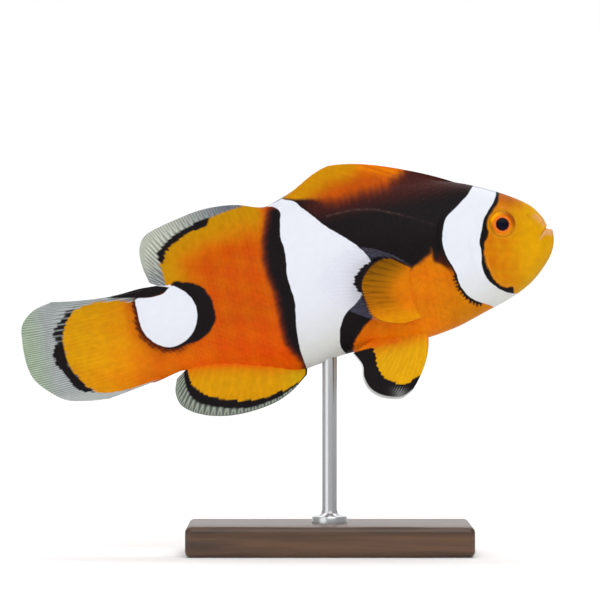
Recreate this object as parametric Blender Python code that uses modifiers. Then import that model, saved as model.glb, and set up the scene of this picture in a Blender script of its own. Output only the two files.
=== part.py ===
"""A life-size true percula clownfish, swimming nose-up, on a small display stand.

Units are metres and +Z is up. The fish is modelled level in its own frame, with the snout at
the origin, the nose along +X and the fish's right side along -Y. An empty pitches it nose-up
and holds it over the stand. The world's origin is the centre of the base's underside.
"""

import math

import bmesh
import bpy
import numpy as np
from mathutils import Vector

# Driving sizes
TOTAL_LENGTH = 0.080  # snout to the end of the tail fin
MM = TOTAL_LENGTH / 80.0  # a millimetre of the fish, so that its sizes all follow its length
GAP = 0.0003  # clearance between pieces that meet
NOSE_UP = math.radians(12.0)
SNOUT_HEIGHT = 0.0467  # snout tip above the underside of the base

# Body stations from the snout to the root of the tail fin:
# place along the body, height of the back, height of the belly, half width
BODY = MM * np.array(
    [
        (0.15, 0.6, 0.6, 0.0),  # tip of the lower lip
        (-0.65, 2.6, -2.3, 1.35),  # front of the upper lip
        (-2.0, 4.8, -3.95, 2.2),
        (-5.0, 7.15, -6.35, 3.4),
        (-8.0, 8.85, -7.7, 4.1),  # eye
        (-12.0, 10.65, -8.9, 4.8),
        (-17.0, 12.2, -10.3, 5.4),  # edge of the gill cover
        (-22.0, 13.05, -10.9, 5.6),  # widest, at the pectoral fins
        (-28.0, 13.15, -10.65, 5.4),
        (-34.0, 12.5, -10.75, 4.9),
        (-39.5, 11.5, -11.4, 4.25),  # vent
        (-46.0, 9.65, -9.6, 3.4),
        (-52.0, 7.1, -8.15, 2.5),
        (-57.0, 5.2, -8.0, 1.9),  # narrowest, in the tail stalk
        (-61.8, 5.2, -9.0, 1.45),
    ]
)
WIDEST_LEVEL = 0.52  # level of the widest point, as a share of the depth
BACK_TAPER, BELLY_TAPER = 1.1, 0.9  # over 1 is a keeled section, under 1 a full one
RING_POINTS = 32

# Where the body is parted into head, trunk and tail
HEAD_END = -17.2 * MM
TRUNK_SPLIT = -39.2 * MM
STALK_FROM = -52.2 * MM
STALK_END = -61.5 * MM

# Slow sideways bend of the hind body, towards the fish's left
SWAY_FROM = -38.0 * MM
TAIL_SWAY = 3.0 * MM

# Mouth and gill cover, as outlines seen from the side
LOWER_JAW = MM * np.array([(1.0, 1.35), (-0.7, 1.35), (-1.95, 0.3), (-4.3, -7.0), (1.0, -7.0)])
MOUTH_CUT = MM * np.array(
    [(1.0, 4.0), (-0.65, 4.0), (-0.65, 1.65), (-2.2, 0.55), (-4.6, -7.2), (1.0, -7.2)]
)
GILL_REAR = MM * np.array([(-12.7, 5.9), (-15.2, 4.6), (-16.2, 1.4), (-15.3, -3.0), (-13.0, -6.8)])
GILL_FRONT = MM * np.array([(-11.7, -6.7), (-10.9, -4.2), (-11.2, -0.5), (-10.8, 2.8), (-11.3, 5.3)])
GILL_PLATE = 1.2 * MM

# Eyes
EYE_CENTRE = MM * np.array([-7.12, 2.5, 3.18])
EYE_RADIUS = 2.45 * MM
EYE_HALF_DEPTH = 1.8 * MM
EYE_AXIS = (0.14, 1.0, 0.14)  # outwards, and a little forwards and up

# Median fins, front to back: ray's root along the body, ray's tip along and up
SPINY_DORSAL = MM * np.array(
    [
        (-12.4, -12.7, 11.1),
        (-15.0, -15.5, 12.4),
        (-18.2, -19.3, 14.1),
        (-21.5, -23.2, 15.6),
        (-25.0, -27.0, 16.65),
        (-28.5, -30.5, 17.0),
        (-31.7, -33.3, 16.05),
        (-34.7, -35.9, 14.65),
        (-37.6, -38.5, 13.7),
        (-40.6, -41.0, 13.1),
    ]
)
SOFT_DORSAL = MM * np.array(
    [
        (-41.4, -41.7, 13.2),
        (-43.6, -44.6, 14.2),
        (-46.2, -47.6, 14.6),
        (-48.7, -50.6, 14.55),
        (-51.0, -53.6, 14.05),
        (-53.0, -56.6, 13.4),
        (-54.6, -59.0, 12.5),
        (-55.7, -60.1, 10.6),
        (-56.4, -60.15, 8.1),
        (-56.8, -59.6, 5.6),
    ]
)
ANAL = MM * np.array(
    [
        (-39.3, -39.8, -12.7),
        (-41.6, -42.3, -14.35),
        (-44.1, -45.0, -15.5),
        (-46.7, -48.2, -16.05),
        (-49.2, -51.5, -16.1),
        (-51.4, -54.6, -15.55),
        (-53.1, -57.1, -14.5),
        (-54.2, -58.8, -13.0),
        (-54.9, -59.2, -11.0),
        (-55.3, -58.6, -9.1),
    ]
)
# Tail fin, top to bottom: height of the ray's root, ray's tip along and up
CAUDAL = MM * np.array(
    [
        (5.0, -74.5, 5.9),
        (4.2, -77.5, 5.15),
        (3.1, -79.5, 3.4),
        (1.6, -80.0, 1.0),
        (-0.2, -80.1, -0.9),
        (-2.2, -80.0, -2.9),
        (-4.2, -79.3, -5.0),
        (-6.0, -77.5, -7.1),
        (-7.4, -75.3, -8.75),
        (-8.2, -72.3, -9.5),
        (-8.85, -69.0, -9.85),
    ]
)
# Paired fins: ray's root along and up, ray's tip along and up
PECTORAL = MM * np.array(
    [
        (-21.0, -0.9, -26.5, 3.6),
        (-21.1, -1.5, -29.0, 4.3),
        (-21.2, -2.3, -32.2, 3.3),
        (-21.3, -3.2, -34.6, 1.3),
        (-21.3, -4.0, -34.8, -0.9),
        (-21.4, -4.9, -33.7, -2.9),
        (-21.4, -5.7, -31.5, -4.7),
        (-21.5, -6.4, -29.0, -6.2),
        (-21.5, -6.9, -26.5, -7.4),
        (-21.6, -7.3, -24.0, -7.9),
    ]
)
PECTORAL_FLARE = 0.28  # sideways reach for each length of ray
PELVIC = MM * np.array(
    [
        (-21.2, -25.2, -18.0),
        (-22.2, -26.9, -18.7),
        (-23.1, -28.7, -18.35),
        (-23.9, -30.2, -17.6),
        (-24.8, -31.3, -16.4),
        (-25.8, -31.8, -14.6),
        (-27.0, -31.6, -12.8),
        (-28.6, -32.2, -11.4),
    ]
)
PELVIC_ROOT_SIDE = 2.0 * MM  # pelvic roots from the midline
PELVIC_TIP_SIDE = 4.5 * MM
PELVIC_BOW = 1.1 * MM  # forward bulge of the front ray
PELVIC_LAG = MM * np.array([0.3, 0.0, 0.5])  # keeps the left fin's tips behind the right fin's, seen side-on
FIN_EDGE = 0.6 * MM
RAYS = 20
RAY_STEPS = 5

# Display stand
BASE_SIZE = (0.042, 0.028, 0.0045)
BASE_BEVEL = 0.0009
ROD_AT = -36.0 * MM  # where the rod meets the belly, along the fish
ROD_RADIUS = 0.0011
ROD_DEPTH = 0.003  # how far the rod goes into the body
FOOT_RADIUS = 0.0026
FOOT_HEIGHT = 0.0008

ORANGE = (0.76, 0.19, 0.01)
YELLOW = (0.72, 0.30, 0.01)
WHITE = (0.85, 0.86, 0.92)
BLACK = (0.012, 0.010, 0.011)
WALNUT = (0.12, 0.055, 0.025)
STEEL = (0.56, 0.57, 0.58)


def smooth(knots, values, at):
    """Values on the cubic curve through the stations.

    Each station's slope is that of the parabola through it and its two neighbours.
    """
    slopes = np.gradient(values, knots, axis=0)
    i = np.clip(np.searchsorted(knots, at) - 1, 0, len(knots) - 2)
    span = (knots[i + 1] - knots[i])[:, None]
    t = (at - knots[i])[:, None] / span
    start = values[i] * (1 + 2 * t) + slopes[i] * span * t
    end = values[i + 1] * (3 - 2 * t) - slopes[i + 1] * span * (1 - t)
    return start * (1 - t) ** 2 + end * t**2


def body_at(x):
    """Back height, belly height and half width of the body at x.

    The stations are joined in the square root of the distance from the tip, which rounds it.
    """
    tip = BODY[0, 0]
    return smooth(np.sqrt(tip - BODY[:, 0]), BODY[:, 1:], np.sqrt(tip - x)).T


def sway(x):
    """Sideways bend at x: a parabola that starts at SWAY_FROM."""
    behind = np.clip(SWAY_FROM - x, 0.0, None)
    return TAIL_SWAY * (behind / (SWAY_FROM + TOTAL_LENGTH)) ** 2


def body_rings(x, inset=0.0):
    """Cross-sections of the body at each x, all round.

    Sideways it is the half width times a power of the cosine, and upwards it is the widest
    level plus the depth above or below it times the sine.
    """
    back, belly, half = body_at(x)
    level = (belly + WIDEST_LEVEL * (back - belly))[:, None]
    rise, drop = back[:, None] - inset - level, level - belly[:, None] - inset
    angle = np.linspace(0.0, 2.0 * math.pi, RING_POINTS, endpoint=False)
    cos, sin = np.cos(angle), np.sin(angle)
    taper = np.where(sin > 0, BACK_TAPER, BELLY_TAPER)
    y = (half[:, None] - inset) * np.sign(cos) * np.abs(cos) ** taper + sway(x)[:, None]
    z = level + np.where(sin > 0, rise, drop) * sin
    return np.stack([np.broadcast_to(x[:, None], y.shape), y, z], axis=-1)


def side_at(x, z):
    """Distance of the body's side from the midline at x and z, below the widest level."""
    back, belly, half = body_at(x)
    level = belly + WIDEST_LEVEL * (back - belly)
    sin = (level - z) / (level - belly)
    return half * (1.0 - sin**2) ** (BELLY_TAPER / 2.0)


def underside_at(x, y):
    """Height of the body's underside at x and at a distance y from the midline."""
    back, belly, half = body_at(x)
    level = belly + WIDEST_LEVEL * (back - belly)
    cos = (y / half) ** (1.0 / BELLY_TAPER)
    return level - (level - belly) * np.sqrt(1.0 - cos**2)


def grown(outline, by):
    """The closed outline moved outwards along its normals; it runs anticlockwise."""
    along = np.roll(outline, -1, axis=0) - np.roll(outline, 1, axis=0)
    normal = np.stack([along[:, 1], -along[:, 0]], axis=1)
    return outline + by * normal / np.linalg.norm(normal, axis=1, keepdims=True)


def material(name, colour, roughness=0.45, metallic=0.0):
    """A Principled material."""
    made = bpy.data.materials.new(name)
    made.use_nodes = True
    shader = made.node_tree.nodes["Principled BSDF"]
    shader.inputs["Base Color"].default_value = (*colour, 1.0)
    shader.inputs["Roughness"].default_value = roughness
    shader.inputs["Metallic"].default_value = metallic
    return made


def piece(name, mesh, parent, colour, **finish):
    """A named object of the model, with its own material."""
    made = bpy.data.objects.new(name, mesh)
    model.objects.link(made)
    made.parent = parent
    mesh.materials.append(material(name, colour, **finish))
    mesh.shade_smooth()
    mesh.set_sharp_from_angle(angle=math.radians(40.0))
    return made


def cutter(name, mesh, parent):
    """A shape that only cuts or bounds others; it is no part of the model."""
    made = bpy.data.objects.new(name, mesh)
    cutters.objects.link(made)
    made.parent = parent
    made.hide_render = True
    made.display_type = "WIRE"
    return made


def cut(target, tool, operation="DIFFERENCE"):
    """Adds a Boolean of the tool to the target."""
    boolean = target.modifiers.new(tool.name, "BOOLEAN")
    boolean.operation = operation
    boolean.object = tool


def mesh_from(shape, name):
    """A mesh of the shape, with its normals pointing out."""
    bmesh.ops.recalc_face_normals(shape, faces=shape.faces)
    mesh = bpy.data.meshes.new(name)
    shape.to_mesh(mesh)
    shape.free()
    return mesh


def loft(name, rings):
    """A closed skin over rings of equal size, with a flat face at each end."""
    shape = bmesh.new()
    rows = [[shape.verts.new(point) for point in ring] for ring in rings]
    for near, far in zip(rows, rows[1:]):
        for i in range(len(near)):
            shape.faces.new((near[i - 1], near[i], far[i], far[i - 1]))
    shape.faces.new(rows[0])
    shape.faces.new(rows[-1])
    return mesh_from(shape, name)


def prism(name, outline, low, high):
    """The outline, seen from the side, carried across from y = low to y = high."""
    shape = bmesh.new()
    flat = shape.faces.new([shape.verts.new((x, low, z)) for x, z in outline])
    walls = bmesh.ops.extrude_face_region(shape, geom=[flat])["geom"]
    moved = [part for part in walls if isinstance(part, bmesh.types.BMVert)]
    bmesh.ops.translate(shape, verts=moved, vec=(0.0, high - low, 0.0))
    return mesh_from(shape, name)


def fin(name, roots, tips, root_thickness, colour, bow=0.0):
    """A fin: an open sheet along its rays, thickened to both sides.

    The sheet's first direction follows the roots, and its second runs from root to tip. Rays
    bulge forwards by the bow, most at the front ray and halfway out, and the whole sheet
    takes the body's sway. It is thickest at the root and thinnest at the edge.
    """
    knots, across = np.linspace(0.0, 1.0, len(roots)), np.linspace(0.0, 1.0, RAYS)
    out = np.linspace(0.0, 1.0, RAY_STEPS)
    root, tip = smooth(knots, roots, across), smooth(knots, tips, across)
    sheet = root[:, None] + (tip - root)[:, None] * out[None, :, None]
    sheet[:, :, 0] += bow * (1.0 - across)[:, None] * 4.0 * out * (1.0 - out)
    sheet[:, :, 1] += sway(sheet[:, :, 0])
    number = np.arange(RAYS * RAY_STEPS).reshape(RAYS, RAY_STEPS)
    quads = np.stack([number[:-1, :-1], number[1:, :-1], number[1:, 1:], number[:-1, 1:]], axis=-1)
    mesh = bpy.data.meshes.new(name)
    mesh.from_pydata(sheet.reshape(-1, 3).tolist(), [], quads.reshape(-1, 4).tolist())
    made = piece(name, mesh, fish, colour)
    thickness = made.vertex_groups.new(name="thickness")
    for step in range(RAY_STEPS):
        thickness.add(number[:, step].tolist(), 1.0 - out[step], "REPLACE")
    solid = made.modifiers.new("thickness", "SOLIDIFY")
    solid.thickness = root_thickness
    solid.offset = 0.0
    solid.vertex_group = thickness.name
    solid.thickness_vertex_group = FIN_EDGE / root_thickness
    return made


def body_part(name, front, rear, rings, colour):
    """A length of the body between two cuts."""
    return piece(name, loft(name, body_rings(np.linspace(front, rear, rings))), fish, colour)


def head_blank(inset=0.0):
    """The whole head as one loft, or a core inside it; its rings crowd towards the snout."""
    tip = BODY[0, 0]
    root = np.linspace(0.14 * math.sqrt(MM), math.sqrt(tip - HEAD_END), 16)
    if inset:
        root = np.linspace(math.sqrt(tip + 7.0 * MM), math.sqrt(tip - HEAD_END + MM), 10)
    return body_rings(tip - root**2, inset)


def eyeball(name, side, grow=0.0):
    """An oblate ball, squashed along the eye's axis; grown, it is the socket's cutter."""
    shape = bmesh.new()
    bmesh.ops.create_uvsphere(shape, u_segments=24, v_segments=12, radius=1.0)
    radius = EYE_RADIUS + grow
    bmesh.ops.scale(shape, verts=shape.verts, vec=(radius, radius, EYE_HALF_DEPTH + grow))
    axis = Vector((EYE_AXIS[0], side * EYE_AXIS[1], EYE_AXIS[2]))
    turn = axis.to_track_quat("Z", "Y").to_matrix()
    bmesh.ops.rotate(shape, verts=shape.verts, matrix=turn)
    return mesh_from(shape, name)


def head():
    """Skull and upper jaw, with the mouth, eye sockets and gill recesses cut in."""
    skull = piece("head", loft("head", head_blank()), fish, ORANGE)
    cut(skull, cutter("mouth_cut", prism("mouth_cut", MOUTH_CUT, -8 * MM, 8 * MM), fish))
    for name, side in SIDES:
        socket = cutter("socket_" + name, eyeball("socket_" + name, side, GAP), fish)
        ball = piece("eye_" + name, eyeball("eye_" + name, side), fish, BLACK, roughness=0.1)
        for placed in (socket, ball):
            placed.location = EYE_CENTRE * (1.0, side, 1.0)
        cut(skull, socket)
        cut(skull, gill_shape("gill_recess_" + name, side, GAP))


def lower_jaw():
    """The chin and lower lip, in front of a cut down from the corner of the mouth."""
    jaw = piece("lower_jaw", loft("lower_jaw", head_blank()), fish, ORANGE)
    chin = cutter("chin", prism("chin", LOWER_JAW, -8 * MM, 8 * MM), fish)
    cut(jaw, chin, "INTERSECT")


def gill_shape(name, side, grow):
    """Block seen through the gill cover's outline, less the head's core under the plate."""
    along = np.linspace(0.0, 1.0, 9)
    rear = smooth(np.linspace(0.0, 1.0, len(GILL_REAR)), GILL_REAR, along)
    front = smooth(np.linspace(0.0, 1.0, len(GILL_FRONT)), GILL_FRONT, along)
    outline = grown(np.concatenate([rear, front]), grow)
    block = cutter(name, prism(name, outline, side * 0.8 * MM, side * 9 * MM), fish)
    core_rings = head_blank(GILL_PLATE + grow)
    cut(block, cutter(name + "_core", loft(name + "_core", core_rings), fish))
    return block


def gill_covers():
    """The two bony flaps behind the cheeks."""
    for name, side in SIDES:
        title = "gill_cover_" + name
        plate = piece(title, loft(title, head_blank()), fish, WHITE)
        cut(plate, gill_shape("gill_block_" + name, side, 0.0), "INTERSECT")


def trunk():
    """Front and rear trunk and the tail stalk; the rod's socket is cut in the belly."""
    front = body_part("trunk_front", HEAD_END - GAP, TRUNK_SPLIT, 13, BLACK)
    body_part("trunk_rear", TRUNK_SPLIT - GAP, STALK_FROM, 9, ORANGE)
    body_part("tail_stalk", STALK_FROM - GAP, STALK_END, 7, WHITE)
    radius, depth = ROD_RADIUS + GAP, 2.0 * ROD_DEPTH
    shape = bmesh.new()
    bmesh.ops.create_cone(
        shape, segments=24, radius1=radius, radius2=radius, depth=depth, cap_ends=True
    )
    hole = cutter("rod_hole", mesh_from(shape, "rod_hole"), None)
    hole.location.z = rod_top + GAP - depth / 2.0
    cut(front, hole)


def median_fins():
    """Spiny and soft dorsal fin, anal fin and tail fin, standing on the midline."""
    rows = (
        ("dorsal_fin_front", SPINY_DORSAL, 0, GAP, 1.5 * MM, ORANGE),
        ("dorsal_fin_rear", SOFT_DORSAL, 0, GAP, 1.4 * MM, YELLOW),
        ("anal_fin", ANAL, 1, -GAP, 1.4 * MM, YELLOW),
    )
    for name, rays, edge, clearance, thickness, colour in rows:
        level = body_at(rays[:, 0])[edge] + clearance
        flat = np.zeros(len(rays))
        roots = np.stack([rays[:, 0], flat, level], axis=1)
        tips = np.stack([rays[:, 1], flat, rays[:, 2]], axis=1)
        fin(name, roots, tips, thickness, colour)
    flat = np.zeros(len(CAUDAL))
    roots = np.stack([flat + STALK_END - GAP, flat, CAUDAL[:, 0]], axis=1)
    tips = np.stack([CAUDAL[:, 1], flat, CAUDAL[:, 2]], axis=1)
    fin("caudal_fin", roots, tips, 2.2 * MM, YELLOW)


def paired_fins():
    """Pectoral fins spread from the sides and pelvic fins hanging from the belly."""
    thickness = 1.2 * MM
    for name, side in SIDES:
        x, z, tip_x, tip_z = PECTORAL.T
        y = side_at(x, z) + GAP + thickness / 2.0
        reach = np.hypot(tip_x - x, tip_z - z)
        roots = np.stack([x, side * y, z], axis=1)
        tips = np.stack([tip_x, side * (y + PECTORAL_FLARE * reach), tip_z], axis=1)
        fin("pectoral_fin_" + name, roots, tips, thickness, ORANGE)
        x, tip_x, tip_z = PELVIC.T
        z = underside_at(x, PELVIC_ROOT_SIDE) - 2.5 * GAP
        roots = np.stack([x, np.full(len(x), side * PELVIC_ROOT_SIDE), z], axis=1)
        tips = np.stack([tip_x, np.full(len(x), side * PELVIC_TIP_SIDE), tip_z], axis=1)
        tips += PELVIC_LAG * (side > 0)
        fin("pelvic_fin_" + name, roots, tips, thickness, YELLOW, PELVIC_BOW)


def stand():
    """A bevelled wooden block, and a turned steel rod with a flat foot."""
    shape = bmesh.new()
    bmesh.ops.create_cube(shape, size=1.0)
    bmesh.ops.scale(shape, verts=shape.verts, vec=BASE_SIZE)
    base = piece("stand_base", mesh_from(shape, "stand_base"), None, WALNUT)
    base.location.z = BASE_SIZE[2] / 2.0
    bevel = base.modifiers.new("edges", "BEVEL")
    bevel.width = BASE_BEVEL
    bevel.segments = 3
    foot = BASE_SIZE[2] + GAP
    rim = 0.3 * FOOT_HEIGHT
    outline = [
        (0.0, rod_top),
        (ROD_RADIUS, rod_top),
        (ROD_RADIUS, foot + FOOT_HEIGHT),
        (FOOT_RADIUS - rim, foot + FOOT_HEIGHT),
        (FOOT_RADIUS, foot + FOOT_HEIGHT - rim),
        (FOOT_RADIUS, foot),
        (0.0, foot),
    ]
    mesh = bpy.data.meshes.new("stand_rod")
    edges = [(i, i + 1) for i in range(len(outline) - 1)]
    mesh.from_pydata([(radius, 0.0, height) for radius, height in outline], edges, [])
    rod = piece("stand_rod", mesh, None, STEEL, roughness=0.3, metallic=1.0)
    turned = rod.modifiers.new("turned", "SCREW")
    turned.steps = turned.render_steps = 24
    turned.use_merge_vertices = True
    turned.merge_threshold = 1.0e-6


for old in list(bpy.data.objects):
    bpy.data.objects.remove(old)
model = bpy.data.collections.new("clownfish")
cutters = bpy.data.collections.new("cutters")
for group in (model, cutters):
    bpy.context.scene.collection.children.link(group)

SIDES = (("right", -1.0), ("left", 1.0))
belly = body_at(np.array([ROD_AT]))[1][0]
rod_top = SNOUT_HEIGHT + ROD_AT * math.sin(NOSE_UP) + belly * math.cos(NOSE_UP) + ROD_DEPTH
fish = bpy.data.objects.new("fish", None)
model.objects.link(fish)
fish.rotation_euler.y = -NOSE_UP
fish.location.x = belly * math.sin(NOSE_UP) - ROD_AT * math.cos(NOSE_UP)
fish.location.z = SNOUT_HEIGHT

head()
lower_jaw()
gill_covers()
trunk()
median_fins()
paired_fins()
stand()
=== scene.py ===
"""Looks of a life-size percula clownfish on its display stand.

Metres, +Z up, nose towards +X and up. The camera looks along +Y at the fish's right side.
Shapes and markings of the fish are given in its own millimetres: x from the snout, negative
towards the tail, y to the fish's left and z up, before the fish is pitched nose-up.
"""

import math

import bmesh
import bpy
import numpy as np
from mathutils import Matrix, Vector


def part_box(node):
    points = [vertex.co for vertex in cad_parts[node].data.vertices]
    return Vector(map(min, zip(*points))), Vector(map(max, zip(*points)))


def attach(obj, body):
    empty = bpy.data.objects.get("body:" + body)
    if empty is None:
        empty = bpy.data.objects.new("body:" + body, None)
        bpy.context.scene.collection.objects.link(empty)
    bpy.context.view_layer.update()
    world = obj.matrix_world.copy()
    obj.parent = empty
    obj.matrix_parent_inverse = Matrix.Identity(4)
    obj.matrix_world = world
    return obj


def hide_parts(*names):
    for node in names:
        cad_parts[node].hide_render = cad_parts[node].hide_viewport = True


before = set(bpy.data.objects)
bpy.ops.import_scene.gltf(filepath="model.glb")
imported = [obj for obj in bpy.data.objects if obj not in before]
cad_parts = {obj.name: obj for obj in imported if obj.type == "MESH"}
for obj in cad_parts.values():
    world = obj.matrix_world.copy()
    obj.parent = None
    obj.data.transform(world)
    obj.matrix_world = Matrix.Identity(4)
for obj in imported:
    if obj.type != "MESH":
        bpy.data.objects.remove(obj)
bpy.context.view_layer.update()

# ---------------------------------------------------------------------------------------------
# Skin: painted resin, cast in one closed body from the lips to the root of the tail fin. Orange,
# with three white bars edged in black and a black saddle between the first two, as in a true
# percula. The lower lip juts out, the eyes sit in shallow rims and the gill cover ends in a step.

# Body stations: place along, height of the back, height of the belly, half width
STATIONS = np.array(
    [
        (0.15, 0.6, 0.6, 0.0),
        (-0.65, 2.6, -2.3, 1.35),
        (-2.0, 4.8, -3.95, 2.2),
        (-5.0, 7.15, -6.35, 3.4),
        (-8.0, 8.85, -7.7, 4.1),
        (-12.0, 10.65, -8.9, 4.8),
        (-17.0, 12.2, -10.3, 5.4),
        (-22.0, 13.05, -10.9, 5.6),
        (-28.0, 13.15, -10.65, 5.4),
        (-34.0, 12.5, -10.75, 4.9),
        (-39.5, 11.5, -11.4, 4.25),
        (-46.0, 9.65, -9.6, 3.4),
        (-52.0, 7.1, -8.15, 2.5),
        (-57.0, 5.2, -8.0, 1.9),
        (-61.8, 5.2, -9.0, 1.45),
    ]
)
PITCH = math.radians(12.0)

# The middle of the left eye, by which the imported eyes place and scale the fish, then the middle
# of its dome and the way that it looks. The right eye's have y the other way.
EYE_BALL = np.array([-7.12, 2.5, 3.18])
EYE = EYE_BALL + (-0.07, 0.0, -0.02)
EYE_AXIS = np.array([0.14, 1.0, 0.14]) / math.hypot(0.14, 1.0, 0.14)
SIDES = (("right", -1.0), ("left", 1.0))
eye_right, eye_left = (sum(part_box("eye_" + name), Vector()) / 2.0 for name, _ in SIDES)
MM = (eye_left.y - eye_right.y) / (2.0 * EYE_BALL[1])  # a millimetre of the fish, in metres


def as_points(x, y, z):
    """Points from their places along, across and up, each an array or one number."""
    return np.stack(np.broadcast_arrays(x, y, z), axis=-1)


def place(points):
    """World places of points of the fish: pitched nose-up about the eyes and scaled."""
    x, y, z = np.moveaxis(np.asarray(points, float), -1, 0)
    along, up = x - EYE_BALL[0], z - EYE_BALL[2]
    middle = (eye_right + eye_left) / 2.0
    return as_points(
        middle.x + MM * (along * math.cos(PITCH) - up * math.sin(PITCH)),
        middle.y + MM * y,
        middle.z + MM * (along * math.sin(PITCH) + up * math.cos(PITCH)),
    )


def smooth(knots, values, at):
    """Values on the cubic curve through the stations, with central slopes."""
    slopes = np.gradient(values, knots, axis=0)
    i = np.clip(np.searchsorted(knots, at) - 1, 0, len(knots) - 2)
    span = (knots[i + 1] - knots[i])[..., None]
    t = (at - knots[i])[..., None] / span
    start = values[i] * (1 + 2 * t) + slopes[i] * span * t
    end = values[i + 1] * (3 - 2 * t) - slopes[i + 1] * span * (1 - t)
    return start * (1 - t) ** 2 + end * t**2


def ease(low, high, at):
    """0 below low, 1 above high and a smooth S between them."""
    t = np.clip((at - low) / (high - low), 0.0, 1.0)
    return t * t * (3.0 - 2.0 * t)


def hump(at, width):
    """A bell of height 1 round 0."""
    return np.exp(-((at / width) ** 2))


def mix(first, second, share):
    """Blend of two colours, or arrays of them, by share."""
    share = np.asarray(share)[..., None]
    return np.asarray(first) * (1.0 - share) + np.asarray(second) * share


def body_at(x):
    """Back height, belly height and half width at x, joined in the root of the distance."""
    tip = STATIONS[0, 0]
    at = np.sqrt(tip - np.maximum(x, STATIONS[-1, 0]))
    return np.moveaxis(smooth(np.sqrt(tip - STATIONS[:, 0]), STATIONS[:, 1:], at), -1, 0)


def widest(back, belly):
    """Height at which the body is widest: just over half-way from the belly to the back."""
    return belly + 0.52 * (back - belly)


def sway(x):
    """Sideways bend of the hind body: a parabola."""
    return 3.0 * (np.clip(-38.0 - x, 0.0, None) / 42.0) ** 2


def off_line(x, z, line):
    """Distance from each place to an open line."""
    near = np.full(np.shape(x), np.inf)
    for (ax, az), (bx, bz) in zip(line[:-1], line[1:]):
        dx, dz = bx - ax, bz - az
        t = np.clip(((x - ax) * dx + (z - az) * dz) / (dx * dx + dz * dz), 0.0, 1.0)
        near = np.minimum(near, np.hypot(x - ax - t * dx, z - az - t * dz))
    return near


def rounded(*points):
    """A closed outline drawn smoothly through its points, six steps to each of them."""
    loop = np.array(points, float)
    n = len(loop)
    wrapped = np.concatenate([loop[-3:], loop, loop[:3]])
    steps = np.hypot(*np.diff(wrapped, axis=0).T)
    knots = np.concatenate([[0.0], np.cumsum(steps)])
    at = np.interp(np.arange(6 * n) / 6.0 + 3.0, np.arange(len(knots)), knots)
    return smooth(knots, wrapped, at)


def inside(x, z, outline):
    """How deep each place lies inside a closed outline, negative outside it."""
    loop = np.concatenate([outline, outline[:1]])
    within = np.zeros(np.shape(x), bool)
    for (ax, az), (bx, bz) in zip(loop[:-1], loop[1:]):
        if az != bz:
            within ^= ((az > z) != (bz > z)) & (x < ax + (bx - ax) * (z - az) / (bz - az))
    near = off_line(x, z, loop)
    return np.where(within, near, -near)


# Outlines and lines of the markings, seen from the side
BAR_1 = rounded(
    (-6.6, 10.5), (-6.8, 8.3), (-7.2, 7.4), (-8.1, 6.2), (-9.35, 4.9), (-10.25, 3.0),
    (-11.0, 1.1), (-10.95, 0.0), (-11.3, -1.9), (-11.05, -3.8), (-9.75, -5.65), (-8.2, -6.8),
    (-6.9, -7.25), (-6.4, -8.6), (-9.6, -9.6), (-11.0, -8.15), (-12.2, -7.5), (-13.9, -6.3),
    (-15.0, -4.2), (-15.3, -2.0), (-16.0, 0.0), (-16.3, 1.8), (-15.9, 4.0), (-15.0, 5.8),
    (-13.2, 7.1), (-11.1, 8.6), (-9.5, 10.3), (-8.4, 12.5),
)  # fmt: skip
BAR_2 = rounded(
    (-39.4, 14.6), (-37.6, 13.5), (-36.3, 12.95), (-35.45, 11.9), (-34.2, 10.45), (-32.65, 8.5),
    (-30.2, 6.2), (-28.35, 4.25), (-27.15, 2.1), (-27.2, 0.3), (-28.65, -1.9), (-30.7, -3.75),
    (-31.95, -4.5), (-32.95, -5.7), (-33.75, -7.6), (-33.95, -9.4), (-33.4, -10.8),
    (-33.2, -12.4), (-36.0, -13.5), (-39.2, -12.6), (-39.7, -10.3), (-39.9, -8.0),
    (-39.7, -5.0), (-39.2, -1.3), (-39.5, 2.0), (-39.1, 6.2), (-39.3, 8.2), (-38.9, 10.4),
    (-38.6, 11.9), (-39.4, 12.8), (-40.4, 13.1), (-40.6, 14.6),
)  # fmt: skip
BAR_3 = rounded(
    (-56.3, 4.5), (-55.3, 3.8), (-54.2, 2.6), (-53.6, 1.0), (-53.7, -0.8), (-54.5, -2.5),
    (-55.9, -3.7), (-57.6, -4.25), (-59.2, -4.1), (-60.6, -3.2), (-61.8, -1.6), (-62.2, 0.2),
    (-62.2, 2.0), (-62.1, 3.6), (-60.0, 3.5), (-58.0, 3.65),
)  # fmt: skip
LINE_1 = rounded(
    (-6.1, 9.6), (-6.5, 7.9), (-7.25, 6.2), (-8.4, 5.1), (-9.25, 3.8), (-9.4, 2.2),
    (-10.3, 0.8), (-10.7, -1.2), (-10.35, -3.2), (-9.35, -5.3), (-8.4, -5.9), (-7.4, -6.1),
    (-7.3, -6.8), (-7.4, -8.0), (-9.2, -7.2), (-11.4, -5.0), (-12.2, -1.0), (-12.0, 2.0),
    (-10.4, 5.8), (-8.4, 9.0),
)  # fmt: skip
BAND_2 = rounded(
    (-38.9, 12.9), (-39.9, 12.65), (-40.75, 11.2), (-41.7, 8.6), (-42.25, 5.5), (-42.1, 2.5),
    (-41.75, 0.0), (-41.8, -4.0), (-41.65, -7.2), (-40.75, -9.2), (-39.9, -10.6),
    (-40.3, -12.6), (-39.3, -13.2), (-38.6, -11.0), (-38.3, -5.0), (-38.0, 2.0), (-37.8, 9.0),
)  # fmt: skip
BAND_3 = rounded(
    (-56.2, 5.0), (-54.3, 4.6), (-52.5, 3.75), (-51.6, 2.6), (-51.05, 0.7), (-51.25, -1.9),
    (-52.15, -3.15), (-53.7, -4.05), (-56.0, -4.3), (-57.6, -4.5), (-59.0, -4.3),
    (-58.6, -2.5), (-55.5, -1.0), (-55.4, 2.2), (-56.9, 3.6),
)  # fmt: skip
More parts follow.
